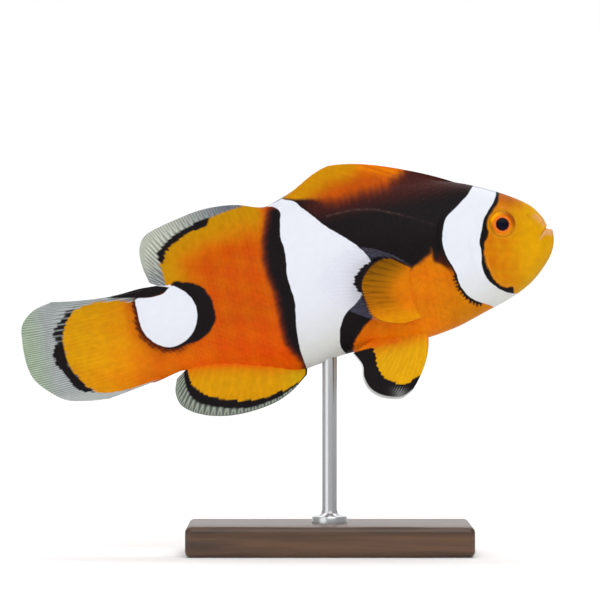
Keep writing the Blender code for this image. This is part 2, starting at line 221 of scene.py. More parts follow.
SADDLE = rounded(
    (-18.05, 1.5), (-19.5, 0.5), (-21.3, -0.3), (-23.5, -1.6), (-26.0, -3.6), (-28.2, -5.5),
    (-28.7, -6.3), (-29.6, -6.9), (-30.7, -7.9), (-31.6, -8.8), (-32.1, -9.8), (-32.4, -12.0),
    (-34.6, -12.4), (-35.2, -8.0), (-33.0, -3.2), (-29.0, 0.0), (-28.7, 2.4), (-32.0, 6.6),
    (-36.0, 10.2), (-38.2, 13.4), (-36.0, 17.5), (-20.0, 17.5), (-8.6, 14.0), (-10.5, 8.0),
    (-14.8, 4.0), (-15.6, 2.2), (-17.9, 2.0),
)  # fmt: skip
BARS = (BAR_1, BAR_2, BAR_3)
CHEEK_STRIP = rounded(
    (-15.5, -2.9), (-16.2, -1.7), (-17.2, -0.6), (-18.0, -0.1), (-18.05, 1.6), (-18.0, 4.0),
    (-15.0, 5.0), (-14.6, 1.0), (-14.4, -2.4),
)  # fmt: skip
BAR_3_CAP = rounded(
    (-56.5, 4.35), (-57.6, 4.65), (-59.1, 5.15), (-60.2, 5.6), (-58.8, 6.4), (-56.9, 5.1),
)  # fmt: skip
TAIL_LENS = rounded(
    (-56.5, 4.15), (-57.6, 4.8), (-59.2, 5.4), (-60.6, 5.8), (-63.0, 5.6), (-66.2, 4.85),
    (-64.2, 4.35), (-61.6, 3.85), (-59.0, 3.6),
)  # fmt: skip
DORSAL_COLOUR = rounded(
    (-36.5, 0.0), (-37.0, 9.0), (-38.0, 12.9), (-41.2, 13.6), (-43.2, 13.8), (-46.2, 13.6),
    (-48.6, 13.2), (-50.6, 12.9), (-52.2, 12.4), (-53.7, 11.9), (-55.2, 11.2), (-56.5, 10.5),
    (-57.3, 9.7), (-57.5, 8.6), (-57.4, 7.0), (-57.3, 5.2), (-57.2, 3.6), (-57.2, -6.0),
    (-47.0, -7.0),
)  # fmt: skip
FLAME_FOOT = np.array(
    [(-38, 13.8), (-36, 13.2), (-34.3, 12.9), (-32.5, 12.5), (-30.7, 12.0), (-29, 12.0),
     (-27.3, 12.3), (-25.7, 12.4), (-24, 12.4), (-22.4, 12.6), (-21.3, 13.2), (-20, 13.9),
     (-18, 15.5), (-12, 17)]
)  # fmt: skip
FLAME_EDGE = np.array([(-38.5, 13.7), (-35.9, 14.6), (-33.3, 16.0), (-31.3, 16.9), (-28.5, 17.1)])
FLAME_TOP = np.array([(-30.5, 17.0), (-27.0, 16.65), (-23.2, 15.6), (-19.3, 14.1)])
MOUTH = np.array([(-1.95, 0.28), (-1.75, 0.55), (-1.3, 1.02), (-0.7, 1.4), (0.05, 1.24)])
UPPER_LIP = np.array([(-0.9, 2.0), (-1.3, 2.7), (-2.0, 3.4)])
LATERAL_LINE = np.array([(-32, 9.8), (-28, 9.9), (-25, 9.3), (-22, 8), (-19, 6.5), (-17, 5.3)])

# Colours of the markings
BLACK = np.array([0.0090, 0.0068, 0.0078])
BROWN = np.array([0.056, 0.0120, 0.0095])
RUST = np.array([0.170, 0.0260, 0.0060])
DEEP = np.array([0.570, 0.0770, 0.0006])
YELLOW = np.array([0.640, 0.3000, 0.0014])
FACE = np.array([0.690, 0.3280, 0.0012])
PINK = np.array([0.760, 0.3750, 0.1650])


def ground(x, z):
    """The orange ground: deep on the flanks, yellower at the face, back and tail, and mottled."""
    yellow = np.interp(
        x,
        [-80.0, -70.0, -66.0, -62.0, -57.0, -51.0, -44.0, -38.0, -30.0, -21.0, -16.0,
         -9.5, -6.0, -3.0, 0.0],
        [0.98, 0.93, 0.72, 0.40, 0.25, 0.05, 0.03, 0.1, 0.2, 0.32, 0.36, 0.5, 0.66, 1.1, 1.35],
    )  # fmt: skip
    yellow += 0.30 * ease(7.0, 11.5, z) * ease(-40.0, -43.0, x)
    yellow -= 0.22 * ease(-2.0, -8.0, z) * ease(-57.0, -62.0, x)
    yellow -= 0.45 * ease(3.2, 7.5, z) * ease(-9.0, -5.0, x)
    yellow += 0.07 * np.sin(1.3 * x + 0.8 * z) * np.sin(0.9 * z - 0.7 * x + 2.0)
    mottled = np.sin(2.2 * x + 1.1 * z + 1.5 * np.sin(1.6 * z)) * np.sin(2.0 * z - 0.9 * x)
    yellow += 0.12 * mottled * ease(-11.0, -9.0, x)
    tint = mix(DEEP, YELLOW, np.clip(yellow, 0.0, 1.0))
    # Redder towards the belly: partly the belly's own red, partly painted light against the shade under
    # it.
    ruddy_and_lit = ease(-1.0, -9.0, z) * ease(-36.0, -42.0, x) * ease(-62.0, -56.0, x)
    tint = tint * (1.0 + np.array([0.32, 0.02, 0.0]) * ruddy_and_lit[..., None])
    tint = mix(tint, FACE, 0.95 * ease(-8.5, -3.0, x - 0.4 * np.clip(z + 1.0, 0.0, None)))
    back, belly, _ = body_at(x)
    # Painted light: low brightens the lower flank between the pectoral and pelvic fins against the
    # shade under the belly.
    low = ease(-5.5, -9.5, z) * ease(-37.0, -34.0, x) * ease(-15.0, -20.0, x)
    lobe = hump(np.hypot(x + 20.2, 0.8 * (z + 3.4)), 3.6) * ease(-12.0, -15.0, x)
    tint = tint * (1.0 + 0.34 * low + 0.18 * lobe)[..., None]
    throat = hump(x + 13.5, 5.0) * ease(-2.5, -7.0, z)
    tint = mix(tint, (0.60, 0.225, 0.0008), 0.45 * throat)
    crown = ease(2.4, 0.1, back - z) * ease(-8.5, -7.0, x)
    tint = mix(tint, (0.36, 0.085, 0.006), 0.8 * crown * ease(-2.5, -5.5, x))
    chin = ease(1.8, 0.2, z - belly) * ease(-9.0, -6.0, x) * ease(-0.5, -2.0, x)
    tint = mix(tint, (0.56, 0.31, 0.004), 0.6 * chin)
    depth = inside(x, z, DORSAL_COLOUR)
    lemon = ease(5.5, 0.5, depth) * ease(-40.5, -42.5, x) * ease(2.0, 6.0, z)
    tint = mix(tint, (0.52, 0.25, 0.0006), 0.90 * lemon)
    return tint * (1.0 + 0.2 * hump(np.hypot(x + 66.0, z + 5.6), 5.5))[..., None]


def mouth_marks(tint, x, z):
    """The tint with pink lips and painted shade in the slit of the mouth."""
    lip = mouth_height(x) - z
    deep_lip = 0.3 + 0.75 * ease(-1.9, -0.4, x)
    pink = ease(-0.1, 0.05, lip) * ease(0.3, -0.2, lip - deep_lip) * ease(-2.3, -1.7, x)
    pink += 0.6 * hump(off_line(x, z, UPPER_LIP), 0.42)
    tint = mix(tint, PINK, np.clip(pink, 0.0, 0.85))
    # Painted shade along the slit between the lips, stronger towards the snout.
    slit_shade = (0.35 + 0.4 * ease(-1.1, -0.8, x)) * hump(off_line(x, z, MOUTH), 0.08)
    return mix(tint, 0.45 * DEEP, slit_shade * (x > -2.2))


def saddle_marks(tint, x, z, ripple):
    """The tint with the black saddle, rusty low down and crossed by the faint lateral line."""
    saddle = inside(x, z, SADDLE) + ripple
    shade = mix(BLACK, BROWN, ease(8.2, 12.2, z) * ease(-36.5, -33.0, x))
    seen = (0.3 + 0.7 * ease(-19.0, -24.0, x)) * (0.75 + 0.25 * np.sin(4.3 * x))
    shade = mix(shade, (0.13, 0.07, 0.065), 0.5 * seen * hump(off_line(x, z, LATERAL_LINE), 0.12))
    fuzzy = 0.13 + 0.3 * hump(x + 20.0, 2.6) * ease(-3.0, -1.0, z)
    shade = mix(shade, (0.085, 0.014, 0.008), 0.8 * hump(x + 16.2, 1.7) * ease(1.6, -0.8, z))
    return mix(tint, shade, ease(-fuzzy, fuzzy, saddle))


def flame_marks(tint, x, z):
    """The tint with the streaky orange flame of the spiny dorsal fin, golden at its hind edge."""
    above = z - np.interp(x, FLAME_FOOT[:, 0], FLAME_FOOT[:, 1])
    above += 0.16 * np.sin(5.3 * x + 2.0 * np.sin(1.3 * x)) * ease(-34.5, -31.0, x)
    soft = 0.25 + 0.65 * ease(-34.5, -31.0, x)
    lean = z + 0.5 * x
    streak = 0.5 + 0.5 * np.sin(5.2 * lean + 1.6 * np.sin(2.1 * lean + 0.3 * x))
    glow = ease(2.4, 0.5, off_line(x, z, FLAME_TOP)) * (0.5 + 0.5 * streak)
    flame = mix((0.50, 0.078, 0.0008), (0.76, 0.19, 0.0010), glow)
    golden = ease(4.2, 1.0, off_line(x, z, FLAME_EDGE)) * (0.85 + 0.15 * streak)
    flame = mix(flame, (0.56, 0.245, 0.0008), golden)
    kindled = (x > -38.2) * ease(-15.0, -17.0, x)
    tint = mix(tint, RUST, 0.7 * hump((above + 0.5 * soft) / soft, 0.8) * kindled * (soft > 0.5))
    return mix(tint, flame, ease(-1.0, 1.0, above / soft) * kindled)


def scallops(x, z, bar_1):
    """Nearness to the black hind edge of the first bar: small teeth round a middle in the bar."""
    turn = np.degrees(np.arctan2(z + 2.2, x + 10.8)) % 360.0
    lean = turn / 6.1 + 0.12 * np.sin(0.31 * turn)
    tooth = np.clip(1.0 - 2.4 * np.abs(lean % 1.0 - 0.5), 0.0, 1.0)
    tooth *= ease(181.0, 187.0, turn) * ease(256.0, 251.0, turn)
    edge = bar_1 + 0.3 + 0.55 * tooth - 0.6 * ease(251.0, 257.0, turn)
    return ease(-0.06, 0.06, edge) * (x < -9.0)


def body_paint(x, z):
    """Colour of the body without its white, and the depth into white, at each place."""
    ripple = 0.08 * np.sin(2.3 * z + 1.9 * np.sin(0.9 * z + 0.6 * x)) * np.sin(1.1 * z - 1.3 * x)
    ripple += 0.035 * np.sin(6.1 * z - 3.7 * x + 2.0 * np.sin(1.9 * z + 0.4 * x))
    bar_1, bar_2, bar_3 = (inside(x, z, bar) for bar in BARS)
    white = np.maximum(np.maximum(bar_1, bar_2), bar_3) + 0.4 * ripple
    white = np.maximum(white, inside(x, z, BAR_3_CAP))
    tint = mouth_marks(ground(x, z), x, z)

    line_1 = inside(x, z, LINE_1)
    tint = mix(tint, (0.80, 0.34, 0.03), 0.35 * hump(line_1 + 0.25, 0.16) * ease(0.5, -1.5, z))
    strip = inside(x, z, CHEEK_STRIP)
    dark = mix(0.55 * RUST, BLACK, ease(-2.2, 1.6, z))
    tint = mix(tint, dark, ease(-0.3, 0.25, strip) * ease(-3.2, -0.8, z))
    tint = flame_marks(saddle_marks(tint, x, z, ripple), x, z)

    band_2 = inside(x, z, BAND_2) + 1.3 * ripple
    tint = mix(tint, RUST, 0.8 * ease(-0.75, -0.05, band_2))
    tint = mix(tint, mix(BLACK, BROWN, ease(0.9, 0.1, band_2)), ease(-0.4, 0.35, band_2))
    under = np.maximum(ease(-57.0, -58.5, x), ease(-2.0, -3.6, z) * ease(-51.0, -53.5, x))
    tint = mix(tint, 0.8 * DEEP, 0.5 * ease(-2.6, -0.3, bar_3) * under)
    fuzz = bar_3 + 2.0 * ripple + 0.12 * np.sin(9.0 * x + 7.0 * z)
    tint = mix(tint, 0.45 * RUST, ease(-1.35 + 0.5 * ease(-2.0, 1.5, z), -0.35, fuzz) * under)
    band_3 = np.maximum(inside(x, z, BAND_3), inside(x, z, TAIL_LENS)) + ripple
    tint = mix(tint, BLACK, ease(-0.16, 0.12, band_3))
    tint = mix(tint, BLACK, ease(-0.1, 0.1, line_1 + ripple))
    return mix(tint, BLACK, scallops(x, z, bar_1)), white


def chalk(x, z):
    """White of the bars: cold, with painted shade greyer and warmer at the belly, dusky along the
    ridge.
    """
    back, belly, _ = body_at(x)
    low = ease(0.42, 0.0, (z - belly) / (back - belly))
    # Painted shade: greyer and warmer low down towards the belly.
    pale = mix((0.745, 0.765, 0.835), (0.665, 0.672, 0.640), low)
    ridge = ease(0.45, 0.05, back - z) * (x > -17.0)
    return mix(pale, (0.34, 0.36, 0.44), 0.8 * ridge)


def mouth_height(x):
    """Height of the slit of the mouth at x."""
    return np.interp(x, MOUTH[:, 0], MOUTH[:, 1])


def eye_ring(points, side):
    """Distance from an eye's axis, and height above the eye's centre along it."""
    flip = np.array([1.0, side, 1.0])
    offset = points - EYE * flip
    up = offset @ (EYE_AXIS * flip)
    return np.sqrt(np.clip((offset**2).sum(-1) - up**2, 0.0, None)), up


def normals_of(points):
    """Outward normals of a grid of closed rows that run from snout to tail."""
    along = np.gradient(points, axis=0)
    around = np.roll(points, -1, axis=1) - np.roll(points, 1, axis=1)
    normal = np.cross(along, around)
    return normal / (np.linalg.norm(normal, axis=-1, keepdims=True) + 1e-12)


def skin_grid(x, columns, inset):
    """Skin points: rows at each x, columns from the belly over the left side and the back.

    A row is the body's section, inset, with columns crowded on the sides; the upper lip is
    then drawn back, the eye rims raised and the mouth, nostrils and gill edges pressed in.
    """
    back, belly, half = body_at(x)
    end = ease(-60.3, -65.0, x)  # the stalk thins to a blade inside the tail fin
    half = (half - inset) * (1.0 - end) + 0.42 * end
    back, belly = back - inset - 0.25 * end, belly + inset + 0.25 * end
    level = widest(back, belly)[:, None]
    turn = -math.pi / 2 + np.linspace(0.0, 2.0 * math.pi, columns, endpoint=False)
    turn = turn - 0.225 * np.sin(2.0 * turn)
    cos, sin = np.cos(turn), np.sin(turn)
    keeled = 1.1 + 0.3 * ease(-9.0, -16.0, x)[:, None]  # the back is sharper than the belly
    vent = ease(-38.0, -42.5, x) * ease(-58.0, -54.0, x)  # over the anal fin
    taper = np.where(sin > 0, keeled, 0.9 + 0.4 * vent[:, None])
    y = np.clip(half, 0.0, None)[:, None] * np.sign(cos) * np.abs(cos) ** taper
    z = level + np.where(sin > 0, back[:, None] - level, level - belly[:, None]) * sin
    # Low crests where the dorsal and anal fins stand
    crest = 1.4 * ease(-14.0, -20.0, x) * ease(-57.0, -53.0, x) * (1.0 - 0.3 * hump(x + 39.5, 2.5))
    z = z + crest[:, None] * np.clip(1.0 - np.abs(y) / 1.4, 0.0, 1.0) ** 2 * (sin > 0)
    z = z - 0.9 * vent[:, None] * np.clip(1.0 - np.abs(y) / 1.2, 0.0, 1.0) ** 2 * (sin < 0)
    wide = np.broadcast_to(x[:, None], y.shape)

    # The upper lip, drawn back behind the lower one
    above = ease(-0.04, 0.05, z - mouth_height(wide))
    lip_front = -0.68 - 0.12 * np.clip((z - 2.0) / 0.7, -1.0, 1.0) ** 2
    drawn = wide + np.minimum(lip_front - wide, 0.0) * above
    drawn = drawn - 0.42 * ease(0.75, 1.4, z) ** 2 * ease(-0.6, 0.0, wide) * (1.0 - above)
    points = as_points(drawn, y + sway(wide), z)

    # Relief along the normals: mouth, nostrils, gill cover, cheek and the fold at the fin's root
    normal = normals_of(points)
    sideways = ease(0.25, 0.6, np.abs(normal[..., 1]))
    slit = np.where(wide > -2.1, z - mouth_height(wide), 9.0)
    mouth = ease(-2.05, -1.5, wide)
    relief = -0.15 * hump(slit, 0.10) * mouth
    relief += 0.07 * (hump(slit - 0.42, 0.28) + hump(slit + 0.42, 0.28)) * mouth
    relief -= 0.05 * (hump(slit - 0.95, 0.2) + hump(slit + 0.95, 0.2)) * mouth
    nostril = np.hypot(wide + 2.95, z - 3.7)
    relief += sideways * (0.05 * hump(nostril - 0.27, 0.11) - 0.2 * hump(nostril, 0.17))
    gill = inside(wide, z, BAR_1)
    rear = sideways * (wide < -10.5) * ease(-8.2, -7.0, z) * ease(7.2, 5.6, z)
    relief += rear * (0.07 * ease(-0.5, -0.36, gill) * ease(2.5, 0.0, gill))
    relief -= rear * 0.17 * hump(gill + 0.62, 0.15)
    cheek = inside(wide, z, LINE_1)
    relief -= 0.09 * hump(cheek + 0.05, 0.16) * sideways * ease(4.0, 1.5, z) * ease(-7.2, -6.4, z)
    relief += 0.02 * hump(cheek + 0.5, 0.45) * sideways * ease(3.0, 1.0, z)
    fold = ease(-0.9, 0.2, z) * ease(4.4, 2.8, z) * sideways
    relief -= 0.08 * hump(wide + 18.05, 0.13) * fold
    relief += 0.25 * sideways * hump(np.hypot(wide + 20.9, 0.45 * (z + 4.1)), 1.1)
    points += normal * (relief * ease(0.1, 0.9, half)[:, None])[..., None]

    for _, side in SIDES:
        ring, up = eye_ring(points, side)
        rim = 1.03 + 0.08 * hump(ring - 2.25, 0.18) - 0.35 * ease(1.8, 1.4, ring)
        share = 0.75 * ease(2.9, 2.0, ring) * (up > 0.0)
        lift = (rim - up) * share
        points += lift[..., None] * EYE_AXIS * np.array([1.0, side, 1.0])
    return points


def grid_faces(rows, columns, wrap):
    """Quads of a grid of vertices, numbered row by row, and the columns that they span."""
    i, j = np.meshgrid(np.arange(rows - 1), np.arange(columns - (not wrap)), indexing="ij")
    i, j = i.ravel(), j.ravel()
    after = (j + 1) % columns
    quads = [i * columns + j, i * columns + after, (i + 1) * columns + after, (i + 1) * columns + j]
    spans = [(i, j), (i, j + 1), (i + 1, j + 1), (i + 1, j)]
    return np.stack(quads, axis=1), np.stack([np.stack(s, axis=1) for s in spans], axis=1)


def add_object(name, data):
    """An object of the scene, at the origin."""
    made = bpy.data.objects.new(name, data)
    bpy.context.scene.collection.objects.link(made)
    return made


def add_mesh(name, points, faces, corners, material):
    """An object at the origin, smooth, with the corners' places on its OFBake map."""
    mesh = bpy.data.meshes.new(name)
    mesh.from_pydata(points.tolist(), [], faces)
    mesh.uv_layers.new(name="OFBake").data.foreach_set("uv", np.ravel(corners))
    mesh.materials.append(material)
    mesh.shade_smooth()
    mesh.validate()
    made = add_object(name, mesh)
    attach(made, "root")
    return made


def add_tube(name, points, material, turned=False):
    """A mesh of a grid of points, rows of closed rings, with a flat cap on each end ring.

    The faces look outwards where rings run anticlockwise, seen from the last row; turned turns
    them over. The map has rows across and rings up.
    """
    rows, columns = points.shape[:2]
    quads, spans = grid_faces(rows, columns, True)
    spans = spans / np.array([rows - 1.0, columns])
    if turned:
        quads, spans = quads[:, ::-1], spans[:, ::-1]
    rings = np.arange(rows * columns).reshape(rows, columns)
    caps = [rings[0], rings[-1, ::-1]] if turned else [rings[0, ::-1], rings[-1]]
    cap_corners = [np.tile([edge, 0.5], (columns, 1)) for edge in (0.0, 1.0)]
    faces = quads.tolist() + [cap.tolist() for cap in caps]
    corners = np.concatenate([spans.reshape(-1, 2), *cap_corners])
    return add_mesh(name, points.reshape(-1, 3), faces, corners, material)


def turn_outwards(made):
    """Turn the faces of a closed mesh outwards."""
    shape = bmesh.new()
    shape.from_mesh(made.data)
    bmesh.ops.recalc_face_normals(shape, faces=shape.faces)
    shape.to_mesh(made.data)
    shape.free()


def add_values(made, name, values):
    """A number, or a colour, at each vertex."""
    values = np.asarray(values, np.float32)
    if values.ndim == 1:
        made.data.attributes.new(name, "FLOAT", "POINT").data.foreach_set("value", values)
        return
    if values.shape[1] == 3:
        values = np.concatenate([values, np.ones((len(values), 1), np.float32)], axis=1)
    layer = made.data.attributes.new(name, "FLOAT_COLOR", "POINT")
    layer.data.foreach_set("color", values.ravel())


def new_material(name, roughness, metallic=0.0, coat=0.0, specular=0.5):
    """A Principled material, and short ways to add and join its nodes."""
    made = bpy.data.materials.new(name)
    made.use_nodes = True
    tree = made.node_tree
    shader = tree.nodes["Principled BSDF"]
    shader.inputs["Roughness"].default_value = roughness
    shader.inputs["Metallic"].default_value = metallic
    shader.inputs["Coat Weight"].default_value = coat
    shader.inputs["Coat Roughness"].default_value = 0.12
    shader.inputs["Specular IOR Level"].default_value = specular

    def node(kind, **settings):
        """A new node with its inputs, or its own settings, by name."""
        added = tree.nodes.new(kind)
        for key, value in settings.items():
            if key in added.inputs:
                added.inputs[key].default_value = value
            else:
                setattr(added, key, value)
        return added

    return made, shader, node, tree.links.new


def ranged(node, link, value, limits, results=(0.0, 1.0)):
    """A value carried from its limits to its results, and held there beyond them."""
    added = node("ShaderNodeMapRange")
    for name, number in zip(("From Min", "From Max", "To Min", "To Max"), (*limits, *results)):
        added.inputs[name].default_value = number
    link(value, added.inputs["Value"])
    return added.outputs["Result"]


def scaled(node, link, colour, factor):
    """A colour times a factor."""
    added = node("ShaderNodeVectorMath", operation="SCALE")
    link(colour, added.inputs[0])
    link(factor, added.inputs["Scale"])
    return added.outputs["Vector"]


def roughened(node, link, shader, height, strength, distance):
    """The material's surface raised by a height, as a bump."""
    bump = node("ShaderNodeBump", Strength=strength, Distance=distance)
    link(height, bump.inputs["Height"])
    link(bump.outputs["Normal"], shader.inputs["Normal"])


skin_paint, shader, node, link = new_material("skin_paint", 0.42, specular=0.05)
tint = node("ShaderNodeAttribute", attribute_name="tint")
white = node("ShaderNodeAttribute", attribute_name="white")
chalk_tint = node("ShaderNodeAttribute", attribute_name="chalk")
coords = node("ShaderNodeTexCoord")
mottle = node("ShaderNodeTexNoise", Scale=900.0, Detail=4.0, Roughness=0.6)
link(coords.outputs["Object"], mottle.inputs["Vector"])
varied = ranged(node, link, mottle.outputs["Fac"], (0.3, 0.7), (0.90, 1.08))
faint = ranged(node, link, mottle.outputs["Fac"], (0.0, 1.0), (0.96, 1.04))
colour = node("ShaderNodeMix", data_type="RGBA")
link(ranged(node, link, white.outputs["Fac"], (-0.06, 0.06)), colour.inputs[0])
link(scaled(node, link, tint.outputs["Color"], varied), colour.inputs[6])
link(scaled(node, link, chalk_tint.outputs["Color"], faint), colour.inputs[7])
link(colour.outputs[2], shader.inputs["Base Color"])
grain = node("ShaderNodeTexNoise", Scale=5200.0, Detail=2.0)
link(coords.outputs["Object"], grain.inputs["Vector"])
roughened(node, link, shader, grain.outputs["Fac"], 0.12, 0.00003)

INSET = 0.06  # the skin lies this deep, so that its scales stand in the body's outline
COLUMNS = 216
TIP, LIPS, GILLS, STALK = STATIONS[0, 0], -2.0, -17.6, -65.5  # where the rows are spaced anew
nose = TIP - np.linspace(0.03, math.sqrt(TIP - LIPS), 66, endpoint=False) ** 2
head_rows = np.linspace(LIPS, GILLS, 142, endpoint=False)
body_rows = np.linspace(GILLS, STALK, 244)
skin_x = np.concatenate([nose, head_rows, body_rows])
skin_mm = skin_grid(skin_x, COLUMNS, INSET)
skin_normal = normals_of(skin_mm)
rows = len(skin_x)
skin = add_tube("skin", place(skin_mm), skin_paint, turned=True)


def eye_shade(points, tint):
    """The tint with each eye's dark seam and its yellow rim."""
    for _, side in SIDES:
        ring, up = eye_ring(points, side)
        seen = up > 0.2
        tint = mix(tint, (0.62, 0.26, 0.004), 0.6 * hump(ring - 2.12, 0.13) * seen)
        tint = mix(tint, (0.38, 0.14, 0.002), 0.7 * ease(2.02, 1.92, ring) * seen)
    return tint


def paint_body(made, points, rim=None):
    """The body's markings on a piece, with painted light where rim, if given, is 1: at scales' hind
    edges.
    """
    tint, white = body_paint(points[:, 0], points[:, 2])
    if rim is not None:
        # Painted light on scales' hind edges: a highlight on dark scales, a faint shade on the others.
        dark = tint[:, :1] < 0.2
        tint = tint * np.where(dark, 0.96 + 0.2 * rim, 1.01 - 0.03 * rim)
    add_values(made, "tint", eye_shade(points, tint))
    add_values(made, "white", white)
    add_values(made, "chalk", chalk(points[:, 0], points[:, 2]))


paint_body(skin, skin_mm.reshape(-1, 3))
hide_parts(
    "head", "lower_jaw", "gill_cover_right", "gill_cover_left", "trunk_front",
    "trunk_rear", "tail_stalk",
)  # fmt: skip

# ---------------------------------------------------------------------------------------------
# Scales: small overlapping resin plates with a free hind edge, in staggered rows from the cheeks
# to the root of the tail fin, largest on the flanks and smallest on the face. Each one is solid
# and lies on the skin, painted with the skin's own markings.


def on_skin(row, column):
    """Points and normals of the skin at fractional rows and columns."""
    row = np.clip(row, 0.0, rows - 1.001)
    i, j = np.floor(row).astype(int), np.floor(column).astype(int)
    s, t = (row - i)[..., None], (column - j)[..., None]
    found = []
    for grid in (skin_mm, skin_normal):
        near = grid[i, j % COLUMNS] * (1 - t) + grid[i, (j + 1) % COLUMNS] * t
        far = grid[i + 1, j % COLUMNS] * (1 - t) + grid[i + 1, (j + 1) % COLUMNS] * t
        found.append(near * (1 - s) + far * s)
    return found


strides = np.linalg.norm(np.roll(skin_mm, -1, axis=1) - skin_mm, axis=-1)
MARGIN = 3  # columns of skin left bare along the back and the belly
SPACING = 0.78  # from one row of scales to the next, in widths
RAISED, SUNK = 0.026, 0.07  # a flank scale's hind edge above the skin, and each underside below


def scale_places(front, rear, count, first, last):
    """Row, column and width of scales in staggered rows, count to half a girth."""
    places = []
    x, odd = front, 0
    while x > rear:
        row = np.interp(-x, -skin_x, np.arange(rows))
        run = np.concatenate([[0.0], np.cumsum(strides[int(row), first:last])])
        width = run[-1] / count
        share = (np.arange(count - odd) + 0.5 + 0.5 * odd) / count
        column = first + np.interp(share * run[-1], run, np.arange(len(run)))
        places.append(np.stack(np.broadcast_arrays(row, column, width), axis=1))
        x -= SPACING * width
        odd = 1 - odd
    return np.concatenate(places)


CORNERS = 12  # of a scale's rim
RINGS = np.array([0.5, 0.86, 1.0, 1.0])  # from the middle to the rim, and the rim again below
AHEAD, BEHIND, ASIDE = 0.66, 0.62, 0.58  # a scale's reach, in widths of its place in the row


def plate():
    """A scale: rings from its middle to its rim, then the rim again below, along and across.

    A point above and one below close it. depth is 1 for the points below.
    """
    turn = np.linspace(0.0, 2.0 * math.pi, CORNERS, endpoint=False)
    along = RINGS[:, None] * np.cos(turn) * np.where(np.cos(turn) > 0, BEHIND, AHEAD)
    across = RINGS[:, None] * np.sin(turn) * ASIDE
    flat = np.concatenate([np.stack([along, across], axis=-1).reshape(-1, 2), np.zeros((2, 2))])
    top, bottom = len(flat) - 2, len(flat) - 1
    below = CORNERS * (len(RINGS) - 1)
    depth = np.zeros(len(flat))
    depth[below:top] = depth[bottom] = 1.0
    step = np.arange(CORNERS)
    after = (step + 1) % CORNERS
    quads = [
        np.stack([inner + CORNERS + step, inner + CORNERS + after, inner + after, inner + step], axis=1)
        for inner in range(0, below, CORNERS)
    ]
    fans = [
        np.stack([step, after, np.full(CORNERS, top)], axis=1),
        np.stack([below + after, below + step, np.full(CORNERS, bottom)], axis=1),
    ]
    return flat, depth, np.concatenate(quads), np.concatenate(fans)


# The plate, and how near each of its points is to the rim, which weighs the painted light on its hind
# edge
outline, sunk, quads, fans = plate()
verts = len(outline)
rim_light_share = np.concatenate([np.repeat([0.25, 0.8, 1.0, 1.0], CORNERS), [0.0, 0.0]])
for name, side in reversed(SIDES):
    first = MARGIN if name == "left" else COLUMNS // 2 + MARGIN
    last = first + COLUMNS // 2 - 2 * MARGIN
    flanks = scale_places(-17.2, -64.6, 24, first, last)
    cheeks = scale_places(-8.4, -16.4, 33, first, last)
    spots = np.concatenate([flanks, cheeks])

    # None over the eye, on the edge of the gill cover or at the root of the pectoral fin
    centre, _ = on_skin(spots[:, 0], spots[:, 1])
    ring, _ = eye_ring(centre, side)
    gill = inside(centre[:, 0], centre[:, 2], BAR_1)
    kept = (ring > 3.3) & ~((np.abs(gill + 0.5) < 0.5) & (centre[:, 0] < -11.0))
    kept &= np.hypot(centre[:, 0] + 21.0, 0.5 * (centre[:, 2] + 4.1)) > 1.0
    spots, centre = spots[kept], centre[kept]

    # Thinner on the cheeks, towards the tail and on the white bars
    height = RAISED * np.where(centre[:, 0] > -17.0, 0.6, 1.0)
    height *= 1.0 - 0.35 * ease(-52.0, -62.0, centre[:, 0])
    pale = np.any([inside(centre[:, 0], centre[:, 2], bar) > 0.0 for bar in BARS], axis=0)
    height *= np.where(pale, 0.4, 1.0)

    # Each lies along the skin, its hind edge raised and its underside sunk into it
    row, column, width = (spots[:, k, None] for k in range(3))
    pace = np.gradient(-skin_x)[np.clip(row.astype(int), 0, rows - 1)]
    around = strides[row.astype(int), column.astype(int) % COLUMNS]
    rows_at = row + outline[:, 0] * width / pace
    columns_at = column + outline[:, 1] * width / around
    points, normal = on_skin(rows_at, columns_at)
    rise = 0.15 + 0.85 * (outline[:, 0] + AHEAD) / (AHEAD + BEHIND)
    rise -= 0.35 * (outline[:, 1] / ASIDE) ** 2
    lift = height[:, None] * rise * (1.0 - sunk) - SUNK * sunk
    points = (points + normal * lift[..., None]).reshape(-1, 3)

    scales = len(spots)
    start = (verts * np.arange(scales))[:, None, None]
    share_row = np.clip(rows_at.ravel() / (rows - 1), 0.001, 0.999)
    share_column = (columns_at.ravel() - first + MARGIN) / (COLUMNS / 2)
    unwrapped = np.stack([share_row, np.clip(share_column, 0.001, 0.999)], axis=1)
    all_quads, all_fans = (quads + start).reshape(-1, 4), (fans + start).reshape(-1, 3)
    coat = add_mesh(
        "scale_coat_" + name,
        place(points),
        all_quads.tolist() + all_fans.tolist(),
        unwrapped[np.concatenate([all_quads.ravel(), all_fans.ravel()])],
        skin_paint,
    )
    edges = np.empty(2 * len(coat.data.edges), np.int32)
    coat.data.edges.foreach_get("vertices", edges)
    edges = edges.reshape(-1, 2)
    on_rim = (edges % verts) // CORNERS == 2
    hard = on_rim.all(axis=1) & pale[edges[:, 0] // verts]
    coat.data.edges.foreach_set("use_edge_sharp", hard)
    paint_body(coat, points, np.tile(rim_light_share, scales)[:, None] ** 3)

# ---------------------------------------------------------------------------------------------
# Dorsal fin: a thin resin sheet set into the back, with ten low spines, a notch and a taller
# soft part behind it. Brown at its foot, then orange and yellow; the soft part has a stepped
# black line and a smoky, finely rayed margin.


def rays(phase, out, forks, spines):
    """Nearness to a ray, 1 on its line; each ray parts in two at every fork on the way out.

    The first few, the spines, don't part.
    """
    off, apart, width = (phase % 1.0) - 0.5, 0.5, 0.17
    for fork in forks:
        apart /= 2.0
        opened = ease(fork, fork + 0.2, out) * (phase > spines)
        off = np.abs(off) - apart * opened
        width = width * 0.62**opened
    return hump(off, np.where(phase > spines, width, 0.09))


